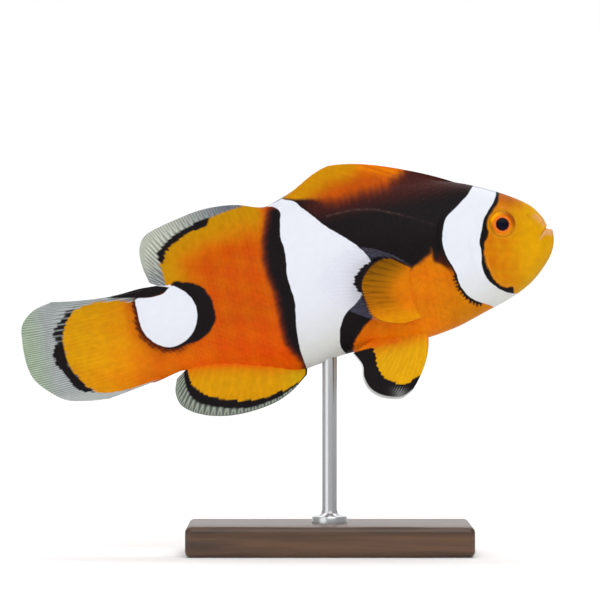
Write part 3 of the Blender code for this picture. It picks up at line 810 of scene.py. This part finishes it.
def blade(
    name, nodes, roots, tips, count, thick, phases, forks, paint,
    spines=0, bow=(0.0, 0.0), wave=0.0, lag=0.0,
):  # fmt: skip
    """A fin: a sheet along its rays, thin at the edge, with a ridge on both faces for each ray.

    Columns run along the roots and rows from root to tip. The first rays are bowed along and up
    by bow, the last ones not, and the sheet waves sideways. Half thickness falls from root to edge, with a rib for each ray,
    and is rounded off at the rim. paint gives colour and alpha from each place, from the place
    on the nearest half ray, which steps an edge from ray to ray, and from the ridge and the way
    out.
    """
    columns, lines = count
    knots = np.linspace(0.0, 1.0, len(roots))
    across, outward = np.meshgrid(
        np.linspace(0.0, 1.0, columns), np.linspace(0.0, 1.0, lines), indexing="ij"
    )
    phase = np.interp(across, knots, phases)
    ridge = rays(phase, outward, forks, spines)

    def sheet(at):
        """Places at shares of the way along the roots: straight from root to tip, then bowed."""
        root, tip = smooth(knots, roots, at), smooth(knots, tips, at)
        notch = 0.007 * (1.0 - ridge) * (outward > 0.9)  # the membrane stops short of its rays
        made = root + (tip - root) * (outward * (1.0 - notch))[..., None]
        bent = (1.0 - at) * 4.0 * outward * (1.0 - outward)
        return made + bent[..., None] * (bow[0], 0.0, bow[1])

    middle = sheet(across)
    snapped = sheet(np.interp(0.5 * np.floor(2.0 * phase) + 0.25, phases, knots))
    seen = middle.copy()
    middle[..., 1] += sway(middle[..., 0])
    middle[..., 1] += wave * outward**2 * np.sin(0.55 * phase + 3.0 * outward + lag)
    normal = np.cross(np.gradient(middle, axis=0), np.gradient(middle, axis=1))
    normal /= np.linalg.norm(normal, axis=-1, keepdims=True) + 1e-12
    root_half, edge_half, rib = thick
    half = edge_half + (root_half - edge_half) * (1.0 - outward) ** 1.8
    half += rib * ridge * ease(0.0, 0.15, outward) * (1.0 - 0.5 * outward)
    ends = np.minimum(across, 1.0 - across) * columns / 5.0  # 1 from five columns in
    brim = np.minimum(ends, (1.0 - outward) * lines / 3.0)
    half *= 0.3 + 0.7 * np.sqrt(np.clip(brim, 0.0, 1.0))
    lift = (normal * half[..., None]).reshape(-1, 3)
    points = np.concatenate([middle.reshape(-1, 3) + lift, middle.reshape(-1, 3) - lift])
    number = columns * lines
    quads, _ = grid_faces(columns, lines, False)
    grid = np.arange(number).reshape(columns, lines)
    rim = np.concatenate([grid[:, 0], grid[-1, 1:], grid[-2::-1, -1], grid[0, -2:0:-1]])
    after = np.roll(rim, -1)
    edge = np.stack([rim, rim + number, after + number, after], axis=1)
    quads = np.concatenate([quads[:, ::-1], quads + number, edge])
    on_map = np.stack([across, outward], axis=-1).reshape(-1, 2) * (1.0, 0.49)
    corners = np.concatenate([on_map + (0.0, 0.005), on_map + (0.0, 0.505)])[quads.ravel()]
    made = add_mesh(name, place(points), quads.tolist(), corners, fin_paint)
    turn_outwards(made)
    colour = paint(seen[..., 0], seen[..., 2], snapped[..., 0], snapped[..., 2], ridge, outward)
    add_values(made, "tint", np.concatenate([colour.reshape(-1, 4)] * 2))
    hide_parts(*nodes)
    return made


def with_alpha(tint, alpha):
    """Colours with their alpha."""
    return np.concatenate([tint, np.broadcast_to(alpha, tint.shape[:-1])[..., None]], axis=-1)


def clear_margin(tint, alpha, share, ridge, membrane, ray, thin, firm):
    """The tint and alpha turned, by share, to a smoky margin with paler, firmer rays."""
    margin = mix(membrane, ray, ridge)
    return mix(tint, margin, share), alpha + (thin + (firm - thin) * ridge - alpha) * share


fin_paint, shader, node, link = new_material("fin_paint", 0.4, specular=0.05)
tint = node("ShaderNodeAttribute", attribute_name="tint")
coords = node("ShaderNodeTexCoord")
mottle = node("ShaderNodeTexNoise", Scale=1100.0, Detail=3.0)
link(coords.outputs["Object"], mottle.inputs["Vector"])
varied = ranged(node, link, mottle.outputs["Fac"], (0.3, 0.7), (0.93, 1.07))
link(scaled(node, link, tint.outputs["Color"], varied), shader.inputs["Base Color"])
link(tint.outputs["Alpha"], shader.inputs["Alpha"])

# Rays: place of the root along the back, then place and height of the tip
DORSAL = np.array(
    [
        (-11.5, -11.8, 10.4), (-13.6, -15.5, 12.4), (-15.8, -19.3, 14.1), (-18.3, -23.2, 15.6),
        (-21.2, -27.0, 16.65), (-24.6, -30.5, 17.0), (-28.4, -33.3, 16.05), (-32.2, -35.9, 14.65),
        (-36.2, -38.5, 13.7), (-40.6, -41.0, 13.1), (-43.6, -44.6, 14.2), (-46.2, -47.6, 14.6),
        (-48.7, -50.6, 14.55), (-51.0, -53.6, 14.05), (-53.0, -56.6, 13.4), (-54.6, -59.0, 12.5),
        (-55.7, -60.1, 10.6), (-56.4, -60.15, 8.1), (-56.8, -59.6, 5.6),
    ]
)  # fmt: skip
DORSAL_LINE = np.array(
    [(-48.4, 12.8), (-50.5, 12.5), (-52, 12.2), (-53.5, 11.7), (-55, 11), (-56.2, 10.3),
     (-57, 9.6), (-57.2, 8.7)]
)  # fmt: skip


def dorsal_paint(x, z, ray_x, ray_z, ridge, out):
    """The body's colours, with the margin and the stepped line of the soft part."""
    body, _ = body_paint(x, z)
    edge = np.interp(x, DORSAL[::-1, 1], DORSAL[::-1, 2]) - z
    notch = ease(-0.05, 0.05, inside(x, z, BAR_2))
    body = mix(body, chalk(x, z), notch)
    lit = (body[..., 0] > 0.3) * (x < -41.0)
    body = body * (1.0 - 0.08 * (1.0 - ridge) * ease(0.3, 0.6, out) * lit)[..., None]
    clear = ease(0.10, -0.14, inside(ray_x, ray_z, DORSAL_COLOUR)) * ease(-41.5, -43.0, x)
    far = ease(-47.0, -57.0, x)
    fore = ease(-50.0, -45.0, x)
    greyed = mix((0.15, 0.17, 0.18), (0.31, 0.33, 0.28), far * ease(5.5, 10.5, z))
    greyed = mix(greyed, (0.09, 0.10, 0.125), fore)
    rayed = mix((0.24, 0.26, 0.28), (0.60, 0.62, 0.53), far * (0.3 + 0.7 * ease(5.0, 9.5, z)))
    rayed = mix(rayed, (0.17, 0.19, 0.22), fore)
    body, alpha = clear_margin(body, np.ones(x.shape), clear, ridge, greyed, rayed, 0.82, 0.96)
    stepped = off_line(ray_x, ray_z, DORSAL_LINE) + 0.22 * ((1.3 * ray_x + 0.4 * z) % 1.0 - 0.4)
    line = ease(0.60, 0.46, stepped) * ease(-49.1, -49.3, x - 0.6 * (z - 12.7))
    body = mix(body, BLACK, line)
    rim = ease(0.35, 0.1, edge) * ease(-36.0, -38.0, x) * ease(-42.0, -40.0, x)
    body = mix(body, (0.25, 0.27, 0.32), 0.8 * rim)
    return with_alpha(body, np.maximum(alpha, line))


dorsal = blade(
    "dorsal_membrane",
    ("dorsal_fin_front", "dorsal_fin_rear"),
    as_points(DORSAL[:, 0] + 0.3, 0.0, body_at(DORSAL[:, 0])[0] - 1.3),
    as_points(DORSAL[:, 1], 0.0, DORSAL[:, 2]),
    count=(420, 44),
    thick=(0.60, 0.085, 0.05),
    phases=np.interp(np.arange(19), [0, 9, 18], [0.0, 10.0, 26.0]),
    forks=(0.45, 0.72),
    paint=dorsal_paint,
    spines=10,
    wave=0.10,
)

# ---------------------------------------------------------------------------------------------
# Anal fin: a thin resin sheet set into the belly. Yellow, with a black band that follows its
# rounded edge and a grey, rayed rim beyond it. The black hind edge of the middle bar runs down
# its front ray.

# Rays: place of the root along the belly, then place and height of the tip
ANAL = np.array(
    [
        (-39.3, -39.7, -12.45), (-41.6, -42.3, -14.35), (-44.1, -45.0, -15.5),
        (-46.7, -48.2, -16.05), (-49.2, -51.5, -16.1), (-51.4, -54.6, -15.55),
        (-53.1, -57.1, -14.5), (-54.2, -58.8, -13.0), (-54.9, -59.2, -11.0),
        (-55.3, -58.6, -9.1),
    ]
)  # fmt: skip
ANAL_COLOUR = rounded(
    (-56.7, -8.2), (-56.6, -9.5), (-56.3, -10.7), (-55.5, -11.8), (-54.2, -12.7), (-52.0, -13.6),
    (-50.0, -14.1), (-48.0, -14.45), (-46.5, -14.35), (-45.0, -14.2), (-43.0, -13.8),
    (-41.2, -13.2), (-39.9, -12.3), (-39.4, -11.0), (-42.0, -8.0), (-50.0, -6.5), (-56.0, -6.5),
)  # fmt: skip
ANAL_BAND = rounded(
    (-57.3, -8.0), (-57.5, -9.5), (-57.4, -11.0), (-57.0, -12.2), (-56.0, -13.3), (-54.0, -14.2),
    (-52.0, -14.9), (-50.0, -15.3), (-48.0, -15.45), (-46.0, -15.1), (-44.5, -14.85),
    (-42.7, -14.1), (-41.2, -13.55), (-39.6, -12.9), (-38.6, -11.0), (-42.0, -8.0),
    (-50.0, -6.5), (-56.6, -6.5),
)  # fmt: skip
ANAL_FRONT = np.array([(-39.4, -10.8), (-39.7, -12.4), (-41.0, -13.7)])


def anal_paint(x, z, ray_x, ray_z, ridge, out):
    """Yellow below the body's own colour, then the black band, the rim and the front ray."""
    body, _ = body_paint(x, z)
    border = np.interp(x, [-54.5, -50, -46, -43, -39.5], [-7.7, -8.4, -9.5, -10.0, -11.0])
    lemon = mix((0.66, 0.19, 0.0008), (0.66, 0.29, 0.0012), ease(0.0, 2.6, border - z))
    body = mix(body, lemon, ease(-0.2, 1.1, border - z))
    body = mix(body, (0.52, 0.36, 0.003), 0.6 * ease(-45.0, -40.5, x) * ease(-10.8, -12.0, z))
    body = body * (1.04 - 0.07 * (1.0 - ridge))[..., None]
    jag = 0.13 * np.sin(5.0 * ray_x + 2.0 * np.sin(2.2 * ray_x))
    band = ease(0.08, -0.08, inside(ray_x, ray_z, ANAL_COLOUR) + jag)
    clear = ease(0.08, -0.08, inside(ray_x, ray_z, ANAL_BAND))
    body = mix(body, BLACK, band)
    membrane, ray = (0.085, 0.105, 0.09), (0.36, 0.40, 0.33)
    body, alpha = clear_margin(body, np.ones(x.shape), clear, ridge, membrane, ray, 0.84, 0.97)
    front = ease(0.28, 0.12, off_line(x, z, ANAL_FRONT))
    return with_alpha(mix(body, BLACK, front), np.maximum(alpha, front))


anal = blade(
    "anal_membrane",
    ("anal_fin",),
    as_points(ANAL[:, 0] + 0.3, 0.0, body_at(ANAL[:, 0])[1] + 1.2),
    as_points(ANAL[:, 1], 0.0, ANAL[:, 2] + 0.04),
    count=(300, 44),
    thick=(0.55, 0.085, 0.05),
    phases=np.linspace(0.0, 14.0, 10),
    forks=(0.5, 0.8),
    paint=anal_paint,
    wave=0.12,
    lag=1.0,
)

# ---------------------------------------------------------------------------------------------
# Tail fin: a rounded resin sheet set into the tail stalk, orange at its root and yellow beyond,
# with a broken black crescent stepped from ray to ray and a wide, pale green-grey margin scored
# by branching rays.

# Rays: height of the root, then place and height of the tip
CAUDAL = np.array(
    [
        (5.0, -74.5, 5.9), (4.2, -77.5, 5.15), (3.1, -79.5, 3.4), (1.6, -80.0, 1.0),
        (-0.2, -80.1, -0.9), (-2.2, -80.0, -2.9), (-4.2, -79.3, -5.0), (-6.0, -77.5, -7.1),
        (-7.4, -75.3, -8.75), (-8.2, -72.3, -9.5), (-8.85, -69.0, -9.85),
    ]
)  # fmt: skip
CAUDAL_COLOUR = rounded(
    (-60.0, 5.2), (-61.8, 4.4), (-62.4, 3.6), (-65.0, 4.1), (-67.9, 4.55), (-69.7, 4.4),
    (-71.3, 3.9), (-72.4, 3.0), (-73.1, 2.0), (-73.7, 0.8), (-73.9, -0.5), (-73.9, -2.2),
    (-73.7, -4.0), (-73.0, -5.4), (-72.2, -6.8), (-71.4, -7.8), (-70.4, -8.5), (-69.0, -9.0),
    (-67.0, -9.15), (-64.0, -9.05), (-60.0, -8.9),
)  # fmt: skip
CAUDAL_BAND = rounded(
    (-70.9, 4.3), (-72.3, 4.05), (-73.5, 3.2), (-74.5, 2.2), (-75.1, 0.9), (-75.0, -0.2),
    (-75.7, -0.9), (-75.8, -2.4), (-75.3, -4.0), (-74.7, -5.3), (-74.0, -6.6), (-72.9, -7.6),
    (-70.9, -8.5), (-71.0, -7.2), (-72.2, -4.0), (-72.4, 0.0), (-71.4, 2.8),
)  # fmt: skip


def caudal_paint(x, z, ray_x, ray_z, ridge, out):
    """The body's colours, then the margin, the crescent with its gaps and the black lens."""
    body, white = body_paint(x, z)
    body = np.where((white > 0.0)[..., None], chalk(x, z), body)
    grooved = (1.0 - ridge) * ease(0.15, 0.4, out) * (body[..., 0] > 0.3)
    body = body * (0.98 - 0.06 * grooved)[..., None]
    clear = ease(0.08, -0.10, inside(ray_x, ray_z, CAUDAL_COLOUR) + 0.1 * np.sin(5.1 * ray_z + 1.0))
    fresh = ease(-75.5, -79.0, x)
    membrane = mix((0.215, 0.245, 0.25), (0.19, 0.265, 0.175), fresh)
    membrane = mix(membrane, (0.44, 0.47, 0.45), ease(-7.0, -9.3, z))
    ray = mix((0.44, 0.47, 0.46), (0.43, 0.52, 0.38), fresh)
    body, alpha = clear_margin(body, np.ones(x.shape), clear, ridge, membrane, ray, 0.72, 0.95)
    low = ease(0.22, 0.08, z - np.interp(x, [-69.0, -61.8], [-9.65, -8.75])) * (x > -69.5)
    body, alpha = clear_margin(body, alpha, low, ridge, membrane, ray, 0.72, 0.95)
    jag = 0.16 * np.sin(7.3 * ray_z + 3.0 * np.sin(2.9 * ray_z))
    band = ease(-0.06, 0.08, inside(ray_x, ray_z, CAUDAL_BAND) + jag) * clear
    gaps = hump((1.22 * z + 0.1 * x) % 1.0 - 0.5, 0.13)
    band *= 1.0 - 0.6 * gaps * ease(-0.6, 0.4, z)
    lens = ease(-0.12, 0.1, inside(x, z, TAIL_LENS))
    body = mix(mix(body, BLACK, band), BLACK, lens)
    return with_alpha(body, np.maximum(alpha, np.maximum(band, lens)))


caudal = blade(
    "tail_membrane",
    ("caudal_fin",),
    as_points(-60.8, 0.0, CAUDAL[:, 0] * 0.97),
    as_points(CAUDAL[:, 1] + 0.04, 0.0, CAUDAL[:, 2]),
    count=(380, 72),
    thick=(0.62, 0.085, 0.05),
    phases=np.linspace(0.0, 16.0, 11),
    forks=(0.3, 0.6),
    paint=caudal_paint,
    bow=(0.0, -0.4),
    wave=0.10,
    lag=2.0,
)

# ---------------------------------------------------------------------------------------------
# Pectoral fins: rounded resin fans set into the sides and held out from them, orange with
# darker ray lines, a black rim above and behind and a clear film beyond the colour.

# Rays: place and height of the root, then of the tip
PECTORAL = np.array(
    [
        (-21.0, -0.9, -26.5, 3.6), (-21.1, -1.5, -29.0, 4.3), (-21.2, -2.3, -32.2, 3.3),
        (-21.3, -3.2, -34.6, 1.3), (-21.3, -4.0, -34.8, -0.9), (-21.4, -4.9, -33.7, -2.9),
        (-21.4, -5.7, -31.5, -4.7), (-21.5, -6.4, -29.0, -6.2), (-21.5, -6.9, -26.5, -7.4),
        (-21.6, -7.3, -24.0, -7.9),
    ]
)  # fmt: skip
PECTORAL_COLOUR = rounded(
    (-20.0, -1.4), (-21.5, -0.25), (-22.8, 0.75), (-24.0, 1.6), (-25.0, 1.9), (-26.5, 1.6),
    (-28.0, 0.6), (-29.1, -1.0), (-29.2, -2.5), (-28.9, -4.3), (-28.5, -5.8), (-27.6, -6.7),
    (-26.0, -7.5), (-24.0, -8.0), (-20.5, -8.4),
)  # fmt: skip
PECTORAL_RIM = rounded(
    (-24.9, 1.8), (-25.4, 2.0), (-26.9, 1.95), (-28.25, 1.4), (-29.35, 0.6), (-30.05, -0.3),
    (-30.1, -1.3), (-29.45, -2.3), (-29.2, -3.4), (-27.6, -3.0), (-27.2, -0.6), (-26.0, 0.6),
)  # fmt: skip


def pectoral_paint(x, z, ray_x, ray_z, ridge, out):
    """The body's colour at the root, then orange with dark lines, the black rim and the film."""
    base, _ = body_paint(0.0 * x - 21.5, np.clip(z, -7.0, -3.0))
    base = mix(base, body_paint(x, np.clip(z, -8.5, -2.0))[0], ease(0.16, 0.0, out))
    warm = mix((0.52, 0.165, 0.0008), base, ease(0.46, 0.2, out))
    warm = mix(warm, (0.64, 0.25, 0.001), 0.8 * ease(-5.6, -7.2, z))
    warm = mix(warm, (0.46, 0.18, 0.0008), 0.7 * ease(-3.5, 0.0, z) * ease(0.12, 0.4, out))
    lined = ridge**1.5 * ease(0.24 - 0.1 * ease(-2.0, 0.5, z), 0.48, out) * ease(-6.5, -2.5, z)
    dull = (0.08 + 0.05 * ridge + 0.17 * ease(-6.0, -2.0, z)) * ease(0.2, 0.5, out)
    warm = warm * (1.0 - dull - (0.22 + 0.10 * np.sin(4.3 * ray_z)) * lined)[..., None]
    light = np.interp(z, [-5.4, -4.4, -2.8, -0.8, 0.2, 1.2], [1.28, 0.95, 0.98, 0.88, 0.74, 0.62])
    light = light + 0.4 * hump(z + 1.6, 0.9) * ease(0.55, 0.7, out)
    lit = ease(0.06, 0.45 - 0.15 * ease(-3.0, 0.0, z), out)
    warm = warm * (1.0 + (light - 1.0) * lit)[..., None]
    fan, rim = inside(ray_x, ray_z, PECTORAL_COLOUR), inside(ray_x, ray_z, PECTORAL_RIM)
    rim += 0.15 * (ridge - 0.5) + 0.10 * np.sin(6.0 * ray_z)
    filled = np.maximum(ease(-0.1, 0.06, fan), ease(-0.1, 0.06, rim))
    alpha = 1.0 + (0.022 + 0.03 * ridge - 1.0) * (1.0 - filled)
    body = mix(warm, BLACK, ease(0.06, -0.1, fan) * ease(-0.9, -0.8, rim))
    body = mix(body, (0.52, 0.52, 0.80), ease(-0.12, -0.28, np.maximum(fan, rim)))
    return with_alpha(body, alpha)


for name, side in SIDES:
    x, z, tip_x, tip_z = PECTORAL.T
    back, belly, half = body_at(x)
    level = widest(back, belly)
    y = half * (1.0 - ((level - z) / (level - belly)) ** 2) ** 0.45 + 0.9
    tip_y = y + 0.28 * np.hypot(tip_x - x, tip_z - z)
    fan = blade(
        "pectoral_fan_" + name,
        ("pectoral_fin_" + name,),
        as_points(x + 1.0, side * (y - 2.0), z - 0.3),
        as_points(tip_x + 0.04, side * tip_y, tip_z),
        count=(300, 96),
        thick=(0.38, 0.07, 0.04),
        phases=np.linspace(0.0, 16.0, 10),
        forks=(0.45, 0.75),
        paint=pectoral_paint,
        bow=(0.0, 0.6),
        wave=0.08,
    )

# ---------------------------------------------------------------------------------------------
# Pelvic fins: a pair of thin resin blades set into the chest from below, yellow at the root and
# black beyond, with a thin white edge broken by dark rays.

# Rays: place of the root along the belly, then place and height of the tip
PELVIC = np.array(
    [
        (-21.2, -25.2, -18.0), (-22.2, -26.9, -18.7), (-23.1, -28.7, -18.35),
        (-23.9, -30.2, -17.6), (-24.8, -31.3, -16.4), (-25.8, -31.8, -14.6),
        (-27.0, -31.6, -12.8), (-28.6, -32.5, -10.75),
    ]
)  # fmt: skip
PELVIC_COLOUR = rounded(
    (-29.6, -10.0), (-29.3, -12.0), (-29.4, -13.0), (-29.0, -14.5), (-28.5, -15.4),
    (-27.5, -16.0), (-26.8, -16.6), (-26.0, -16.7), (-25.0, -16.6), (-24.2, -16.1),
    (-23.2, -16.0), (-19.0, -14.0), (-19.0, -8.0),
)  # fmt: skip


def pelvic_paint(x, z, ray_x, ray_z, ridge, out):
    """Yellow, then black, with the body's colour above its belly line and a white edge."""
    warm = mix((0.66, 0.165, 0.0008), (0.67, 0.33, 0.0020), ease(-9.6, -12.4, z))
    warm = warm * (1.12 - 0.12 * (1.0 - ridge))[..., None]
    body = mix(warm, BLACK, ease(0.08, -0.08, inside(ray_x, ray_z, PELVIC_COLOUR)))
    belly = body_at(np.ravel(x))[1].reshape(x.shape)
    body = mix(body, body_paint(x, z)[0], ease(-0.05, 0.2, z - belly) * ease(-24.5, -26.0, x))
    broken = 1.0 - 0.5 * ridge * ease(-14.0, -16.0, z)
    edge = ease(0.972, 0.98, out) * broken * ease(-10.0, -10.6, z)
    streak = ridge**4 * ease(0.80, 0.95, out) * hump(x + 26.9, 0.9) * ease(-15.0, -17.0, z)
    body = mix(body, (0.62, 0.63, 0.60), 0.9 * streak)
    return with_alpha(mix(body, (0.80, 0.81, 0.78), edge), 1.0 - 0.1 * edge)


ROOT_ASIDE, TIP_ASIDE = 2.0, 4.5  # from the middle of the belly
for name, side in SIDES:
    x, tip_x, tip_z = PELVIC.T
    back, belly, half = body_at(x)
    level = widest(back, belly)
    under = level - (level - belly) * np.sqrt(1.0 - (ROOT_ASIDE / half) ** (2.0 / 0.9))
    tips = as_points(tip_x, side * TIP_ASIDE, tip_z + 0.04)
    if name == "left":
        tips += (0.3, 0.0, 0.5)  # a little forward and up, as the pair isn't held alike
    fin = blade(
        "pelvic_blade_" + name,
        ("pelvic_fin_" + name,),
        as_points(x + 0.2, side * (ROOT_ASIDE - 0.3), under + 0.9),
        tips,
        count=(220, 88),
        thick=(0.5, 0.08, 0.05),
        phases=np.linspace(0.0, 8.0, 8),
        forks=(0.3, 0.55, 0.75),
        paint=pelvic_paint,
        bow=(1.1, 0.0),
        wave=0.06,
    )

# ---------------------------------------------------------------------------------------------
# Eyes: glossy resin domes set into the skin's rims, with a blue-black pupil in a thin bright
# ring, an orange-red iris with fine spokes and an olive-yellow outer ring that is brighter
# towards the back and top.

eye_paint, shader, node, link = new_material("eye_paint", 0.22, specular=0.06)
tint = node("ShaderNodeAttribute", attribute_name="tint")
link(tint.outputs["Color"], shader.inputs["Base Color"])


EYE_RADIUS, EYE_DOME = 2.30, 1.77
PUPIL = (-0.12, -0.135)  # the pupil's middle, from the dome's: along the fish and up


def eye_colour(ring, spoke):
    """Colour at a distance from the dome's middle and a direction round it.

    The rings of the pupil and the iris lie round the pupil, the outer ring round the dome.
    """
    across, above = ring * np.cos(spoke) - PUPIL[0], ring * np.sin(spoke) - PUPIL[1]
    inner, turn = np.hypot(across, above), np.arctan2(above, across)
    fibre = 0.5 + 0.5 * np.sin(31.0 * turn + 2.0 * np.sin(11.0 * turn))

    def toward(angle, width):
        """1 in a direction, in degrees, falling to 0 at a width to either side."""
        return ease(math.cos(math.radians(width)), 1.0, np.cos(spoke - math.radians(angle)))

    outer = mix((0.60, 0.22, 0.0010), (0.88, 0.37, 0.0010), toward(138.0, 60.0))
    outer = mix(outer, (0.40, 0.150, 0.0006), 0.9 * toward(188.0, 38.0) * ease(1.4, 1.6, ring))
    outer = mix(outer, (0.36, 0.075, 0.0006), toward(22.0, 65.0))
    outer = mix(outer, (0.78, 0.30, 0.012), hump(ring - 1.68, 0.07) * toward(262.0, 45.0))
    iris = mix((0.74, 0.115, 0.0006), (0.86, 0.185, 0.0010), fibre * ease(1.0, 1.3, inner))
    iris = mix(iris, (0.88, 0.24, 0.0010), toward(290.0, 60.0) * ease(1.1, 1.4, inner))
    colour = mix(iris, outer, ease(1.2, 1.6, inner))
    colour = mix(colour, (0.86, 0.24, 0.040), (0.5 + 0.4 * fibre) * hump(inner - 1.07, 0.08))
    colour = mix(colour, (0.016, 0.002, 0.006), ease(1.02, 0.94, inner))
    colour = mix(colour, (0.003, 0.004, 0.012), ease(0.85, 0.5, inner))
    return mix(colour, (0.34, 0.13, 0.002), ease(1.84, 1.96, ring))


for name, side in SIDES:
    lines, spokes = 72, 128
    tilt, spoke = np.meshgrid(
        np.linspace(0.02, math.pi - 0.02, lines),
        np.linspace(0.0, 2.0 * math.pi, spokes, endpoint=False),
        indexing="ij",
    )
    ring, up = EYE_RADIUS * np.sin(tilt), EYE_DOME * np.cos(tilt)
    flip = np.array([1.0, side, 1.0])
    axis = EYE_AXIS * flip
    first = np.array([1.0, 0.0, 0.0]) - axis * axis[0]
    first /= np.linalg.norm(first)
    second = np.array([0.0, 0.0, 1.0]) - axis * axis[2]
    second -= first * (second @ first)
    second /= np.linalg.norm(second)
    along, above = ring * np.cos(spoke), ring * np.sin(spoke)
    points = EYE * flip + up[..., None] * axis + along[..., None] * first + above[..., None] * second
    eye = add_tube("eyeball_" + name, place(points), eye_paint)
    turn_outwards(eye)
    shown = np.where(up > 0.0, ring, EYE_RADIUS)
    add_values(eye, "tint", eye_colour(shown, spoke).reshape(-1, 3))
    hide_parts("eye_" + name)

# ---------------------------------------------------------------------------------------------
# Stand: an oiled walnut block with softened edges, and a satin steel rod with a flat foot that
# goes up into the belly.

SHARP = math.radians(35.0)  # edges that turn more than this stay crisp

walnut, shader, node, link = new_material("walnut", 0.45, coat=0.15)
coords = node("ShaderNodeTexCoord")
stretch = node("ShaderNodeMapping")
stretch.inputs["Scale"].default_value = (18.0, 260.0, 420.0)
figure = node("ShaderNodeTexNoise", Scale=1.0, Detail=6.0, Roughness=0.65, Distortion=0.6)
pores = node("ShaderNodeTexNoise", Scale=7.0, Detail=3.0)
link(coords.outputs["Object"], stretch.inputs["Vector"])
link(stretch.outputs["Vector"], figure.inputs["Vector"])
link(stretch.outputs["Vector"], pores.inputs["Vector"])
ramp = node("ShaderNodeValToRGB")
ramp.color_ramp.elements[0].position = 0.35
ramp.color_ramp.elements[0].color = (0.030, 0.013, 0.006, 1.0)
ramp.color_ramp.elements[1].position = 0.68
ramp.color_ramp.elements[1].color = (0.120, 0.055, 0.024, 1.0)
link(figure.outputs["Fac"], ramp.inputs["Fac"])
link(ramp.outputs["Color"], shader.inputs["Base Color"])
roughened(node, link, shader, pores.outputs["Fac"], 0.15, 0.00005)

SOFTENED = 0.0009  # width of the rounding along the block's edges
low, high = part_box("stand_base")
shape = bmesh.new()
bmesh.ops.create_cube(shape, size=1.0)
bmesh.ops.scale(shape, verts=shape.verts, vec=high - low)
bmesh.ops.translate(shape, verts=shape.verts, vec=(low + high) / 2.0)
bmesh.ops.bevel(shape, geom=shape.edges[:], offset=SOFTENED, segments=8, profile=0.5, affect="EDGES")
mesh = bpy.data.meshes.new("walnut_block")
shape.to_mesh(mesh)
shape.free()
mesh.materials.append(walnut)
mesh.shade_smooth()
mesh.set_sharp_from_angle(angle=SHARP)
block = add_object("walnut_block", mesh)
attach(block, "root")
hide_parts("stand_base")

steel, shader, node, link = new_material("steel", 0.28, metallic=1.0)
shader.inputs["Base Color"].default_value = (0.58, 0.59, 0.60, 1.0)
low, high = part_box("stand_rod")
foot, top = low.z - 0.0003, high.z  # the foot is let into the block
ROD, FOOT = 0.0011, 0.0026  # radii

# Radius and height round the foot's rim, up its fillet and to the rod's softened end
profile = np.array(
    [
        (FOOT, foot), (FOOT, foot + 0.0007), (0.00252, foot + 0.0009), (0.00235, foot + 0.00098),
        (0.0016, foot + 0.0011), (0.00125, foot + 0.0014), (ROD, foot + 0.002),
        (ROD, top - 0.0001), (ROD - 0.0001, top),
    ]
)  # fmt: skip
turn = np.linspace(0.0, 2.0 * math.pi, 64, endpoint=False)
radius, height = profile[:, :1], profile[:, 1:]
turned = as_points(radius * np.cos(turn), radius * np.sin(turn), height)
rod = add_tube("steel_rod", turned, steel)
rod.data.set_sharp_from_angle(angle=SHARP)
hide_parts("stand_rod")

# ---------------------------------------------------------------------------------------------
# Studio: a white paper sweep that curves up behind the stand, a wide soft light from above and
# in front, weaker ones from the tail side and from behind, one on the sweep, and a pale surround.

SWEEP_WIDTH = 3.6
sweep_y = np.array([-1.8, 1.10, 1.25, 1.37, 1.46, 1.50, 1.51])
sweep_z = np.array([0.0, 0.0, 0.02, 0.07, 0.16, 0.28, 1.6])
mesh = bpy.data.meshes.new("sweep")
edges = np.array([-SWEEP_WIDTH, SWEEP_WIDTH]) / 2.0
points = as_points(edges, sweep_y[:, None], sweep_z[:, None])
mesh.from_pydata(points.reshape(-1, 3).tolist(), [], grid_faces(len(sweep_y), 2, False)[0].tolist())
mesh.shade_smooth()
paper, shader, node, link = new_material("paper", 0.9, specular=0.1)
shader.inputs["Base Color"].default_value = (0.92, 0.92, 0.92, 1.0)
mesh.materials.append(paper)
sweep = add_object("sweep", mesh)

FISH, BACKDROP = Vector((0.0, 0.0, 0.035)), Vector((0.0, 1.25, 0.05))
for name, spot, aim, size, power in (
    ("key_light", (0.12, -0.50, 0.55), FISH, 0.6, 2.65),
    ("fill_light", (-0.45, -0.45, 0.15), FISH, 0.5, 0.8),
    ("back_light", (0.0, 0.20, 0.60), FISH, 0.6, 0.9),
    ("backdrop_light", (0.0, 0.75, 1.15), BACKDROP, 0.9, 9.0),
):
    lamp = bpy.data.lights.new(name, "AREA")
    lamp.energy = power
    lamp.size = size
    light = add_object(name, lamp)
    light.location = spot
    light.rotation_euler = (aim - light.location).to_track_quat("-Z", "Y").to_euler()

world = bpy.data.worlds.new("surround")
world.use_nodes = True
surround = world.node_tree.nodes["Background"]
surround.inputs["Color"].default_value = (1.0, 1.0, 1.0, 1.0)
surround.inputs["Strength"].default_value = 0.45
bpy.context.scene.world = world

lens = bpy.data.cameras.new("camera")
lens.lens = 300.0
lens.sensor_width = 36.0
lens.clip_start = 0.01
camera = add_object("camera", lens)
camera.location = (-0.00435, -0.7366, 0.0373)
camera.rotation_euler = (math.radians(90.0), 0.0, 0.0)
bpy.context.scene.camera = camera
bpy.context.scene.view_settings.view_transform = "Standard"
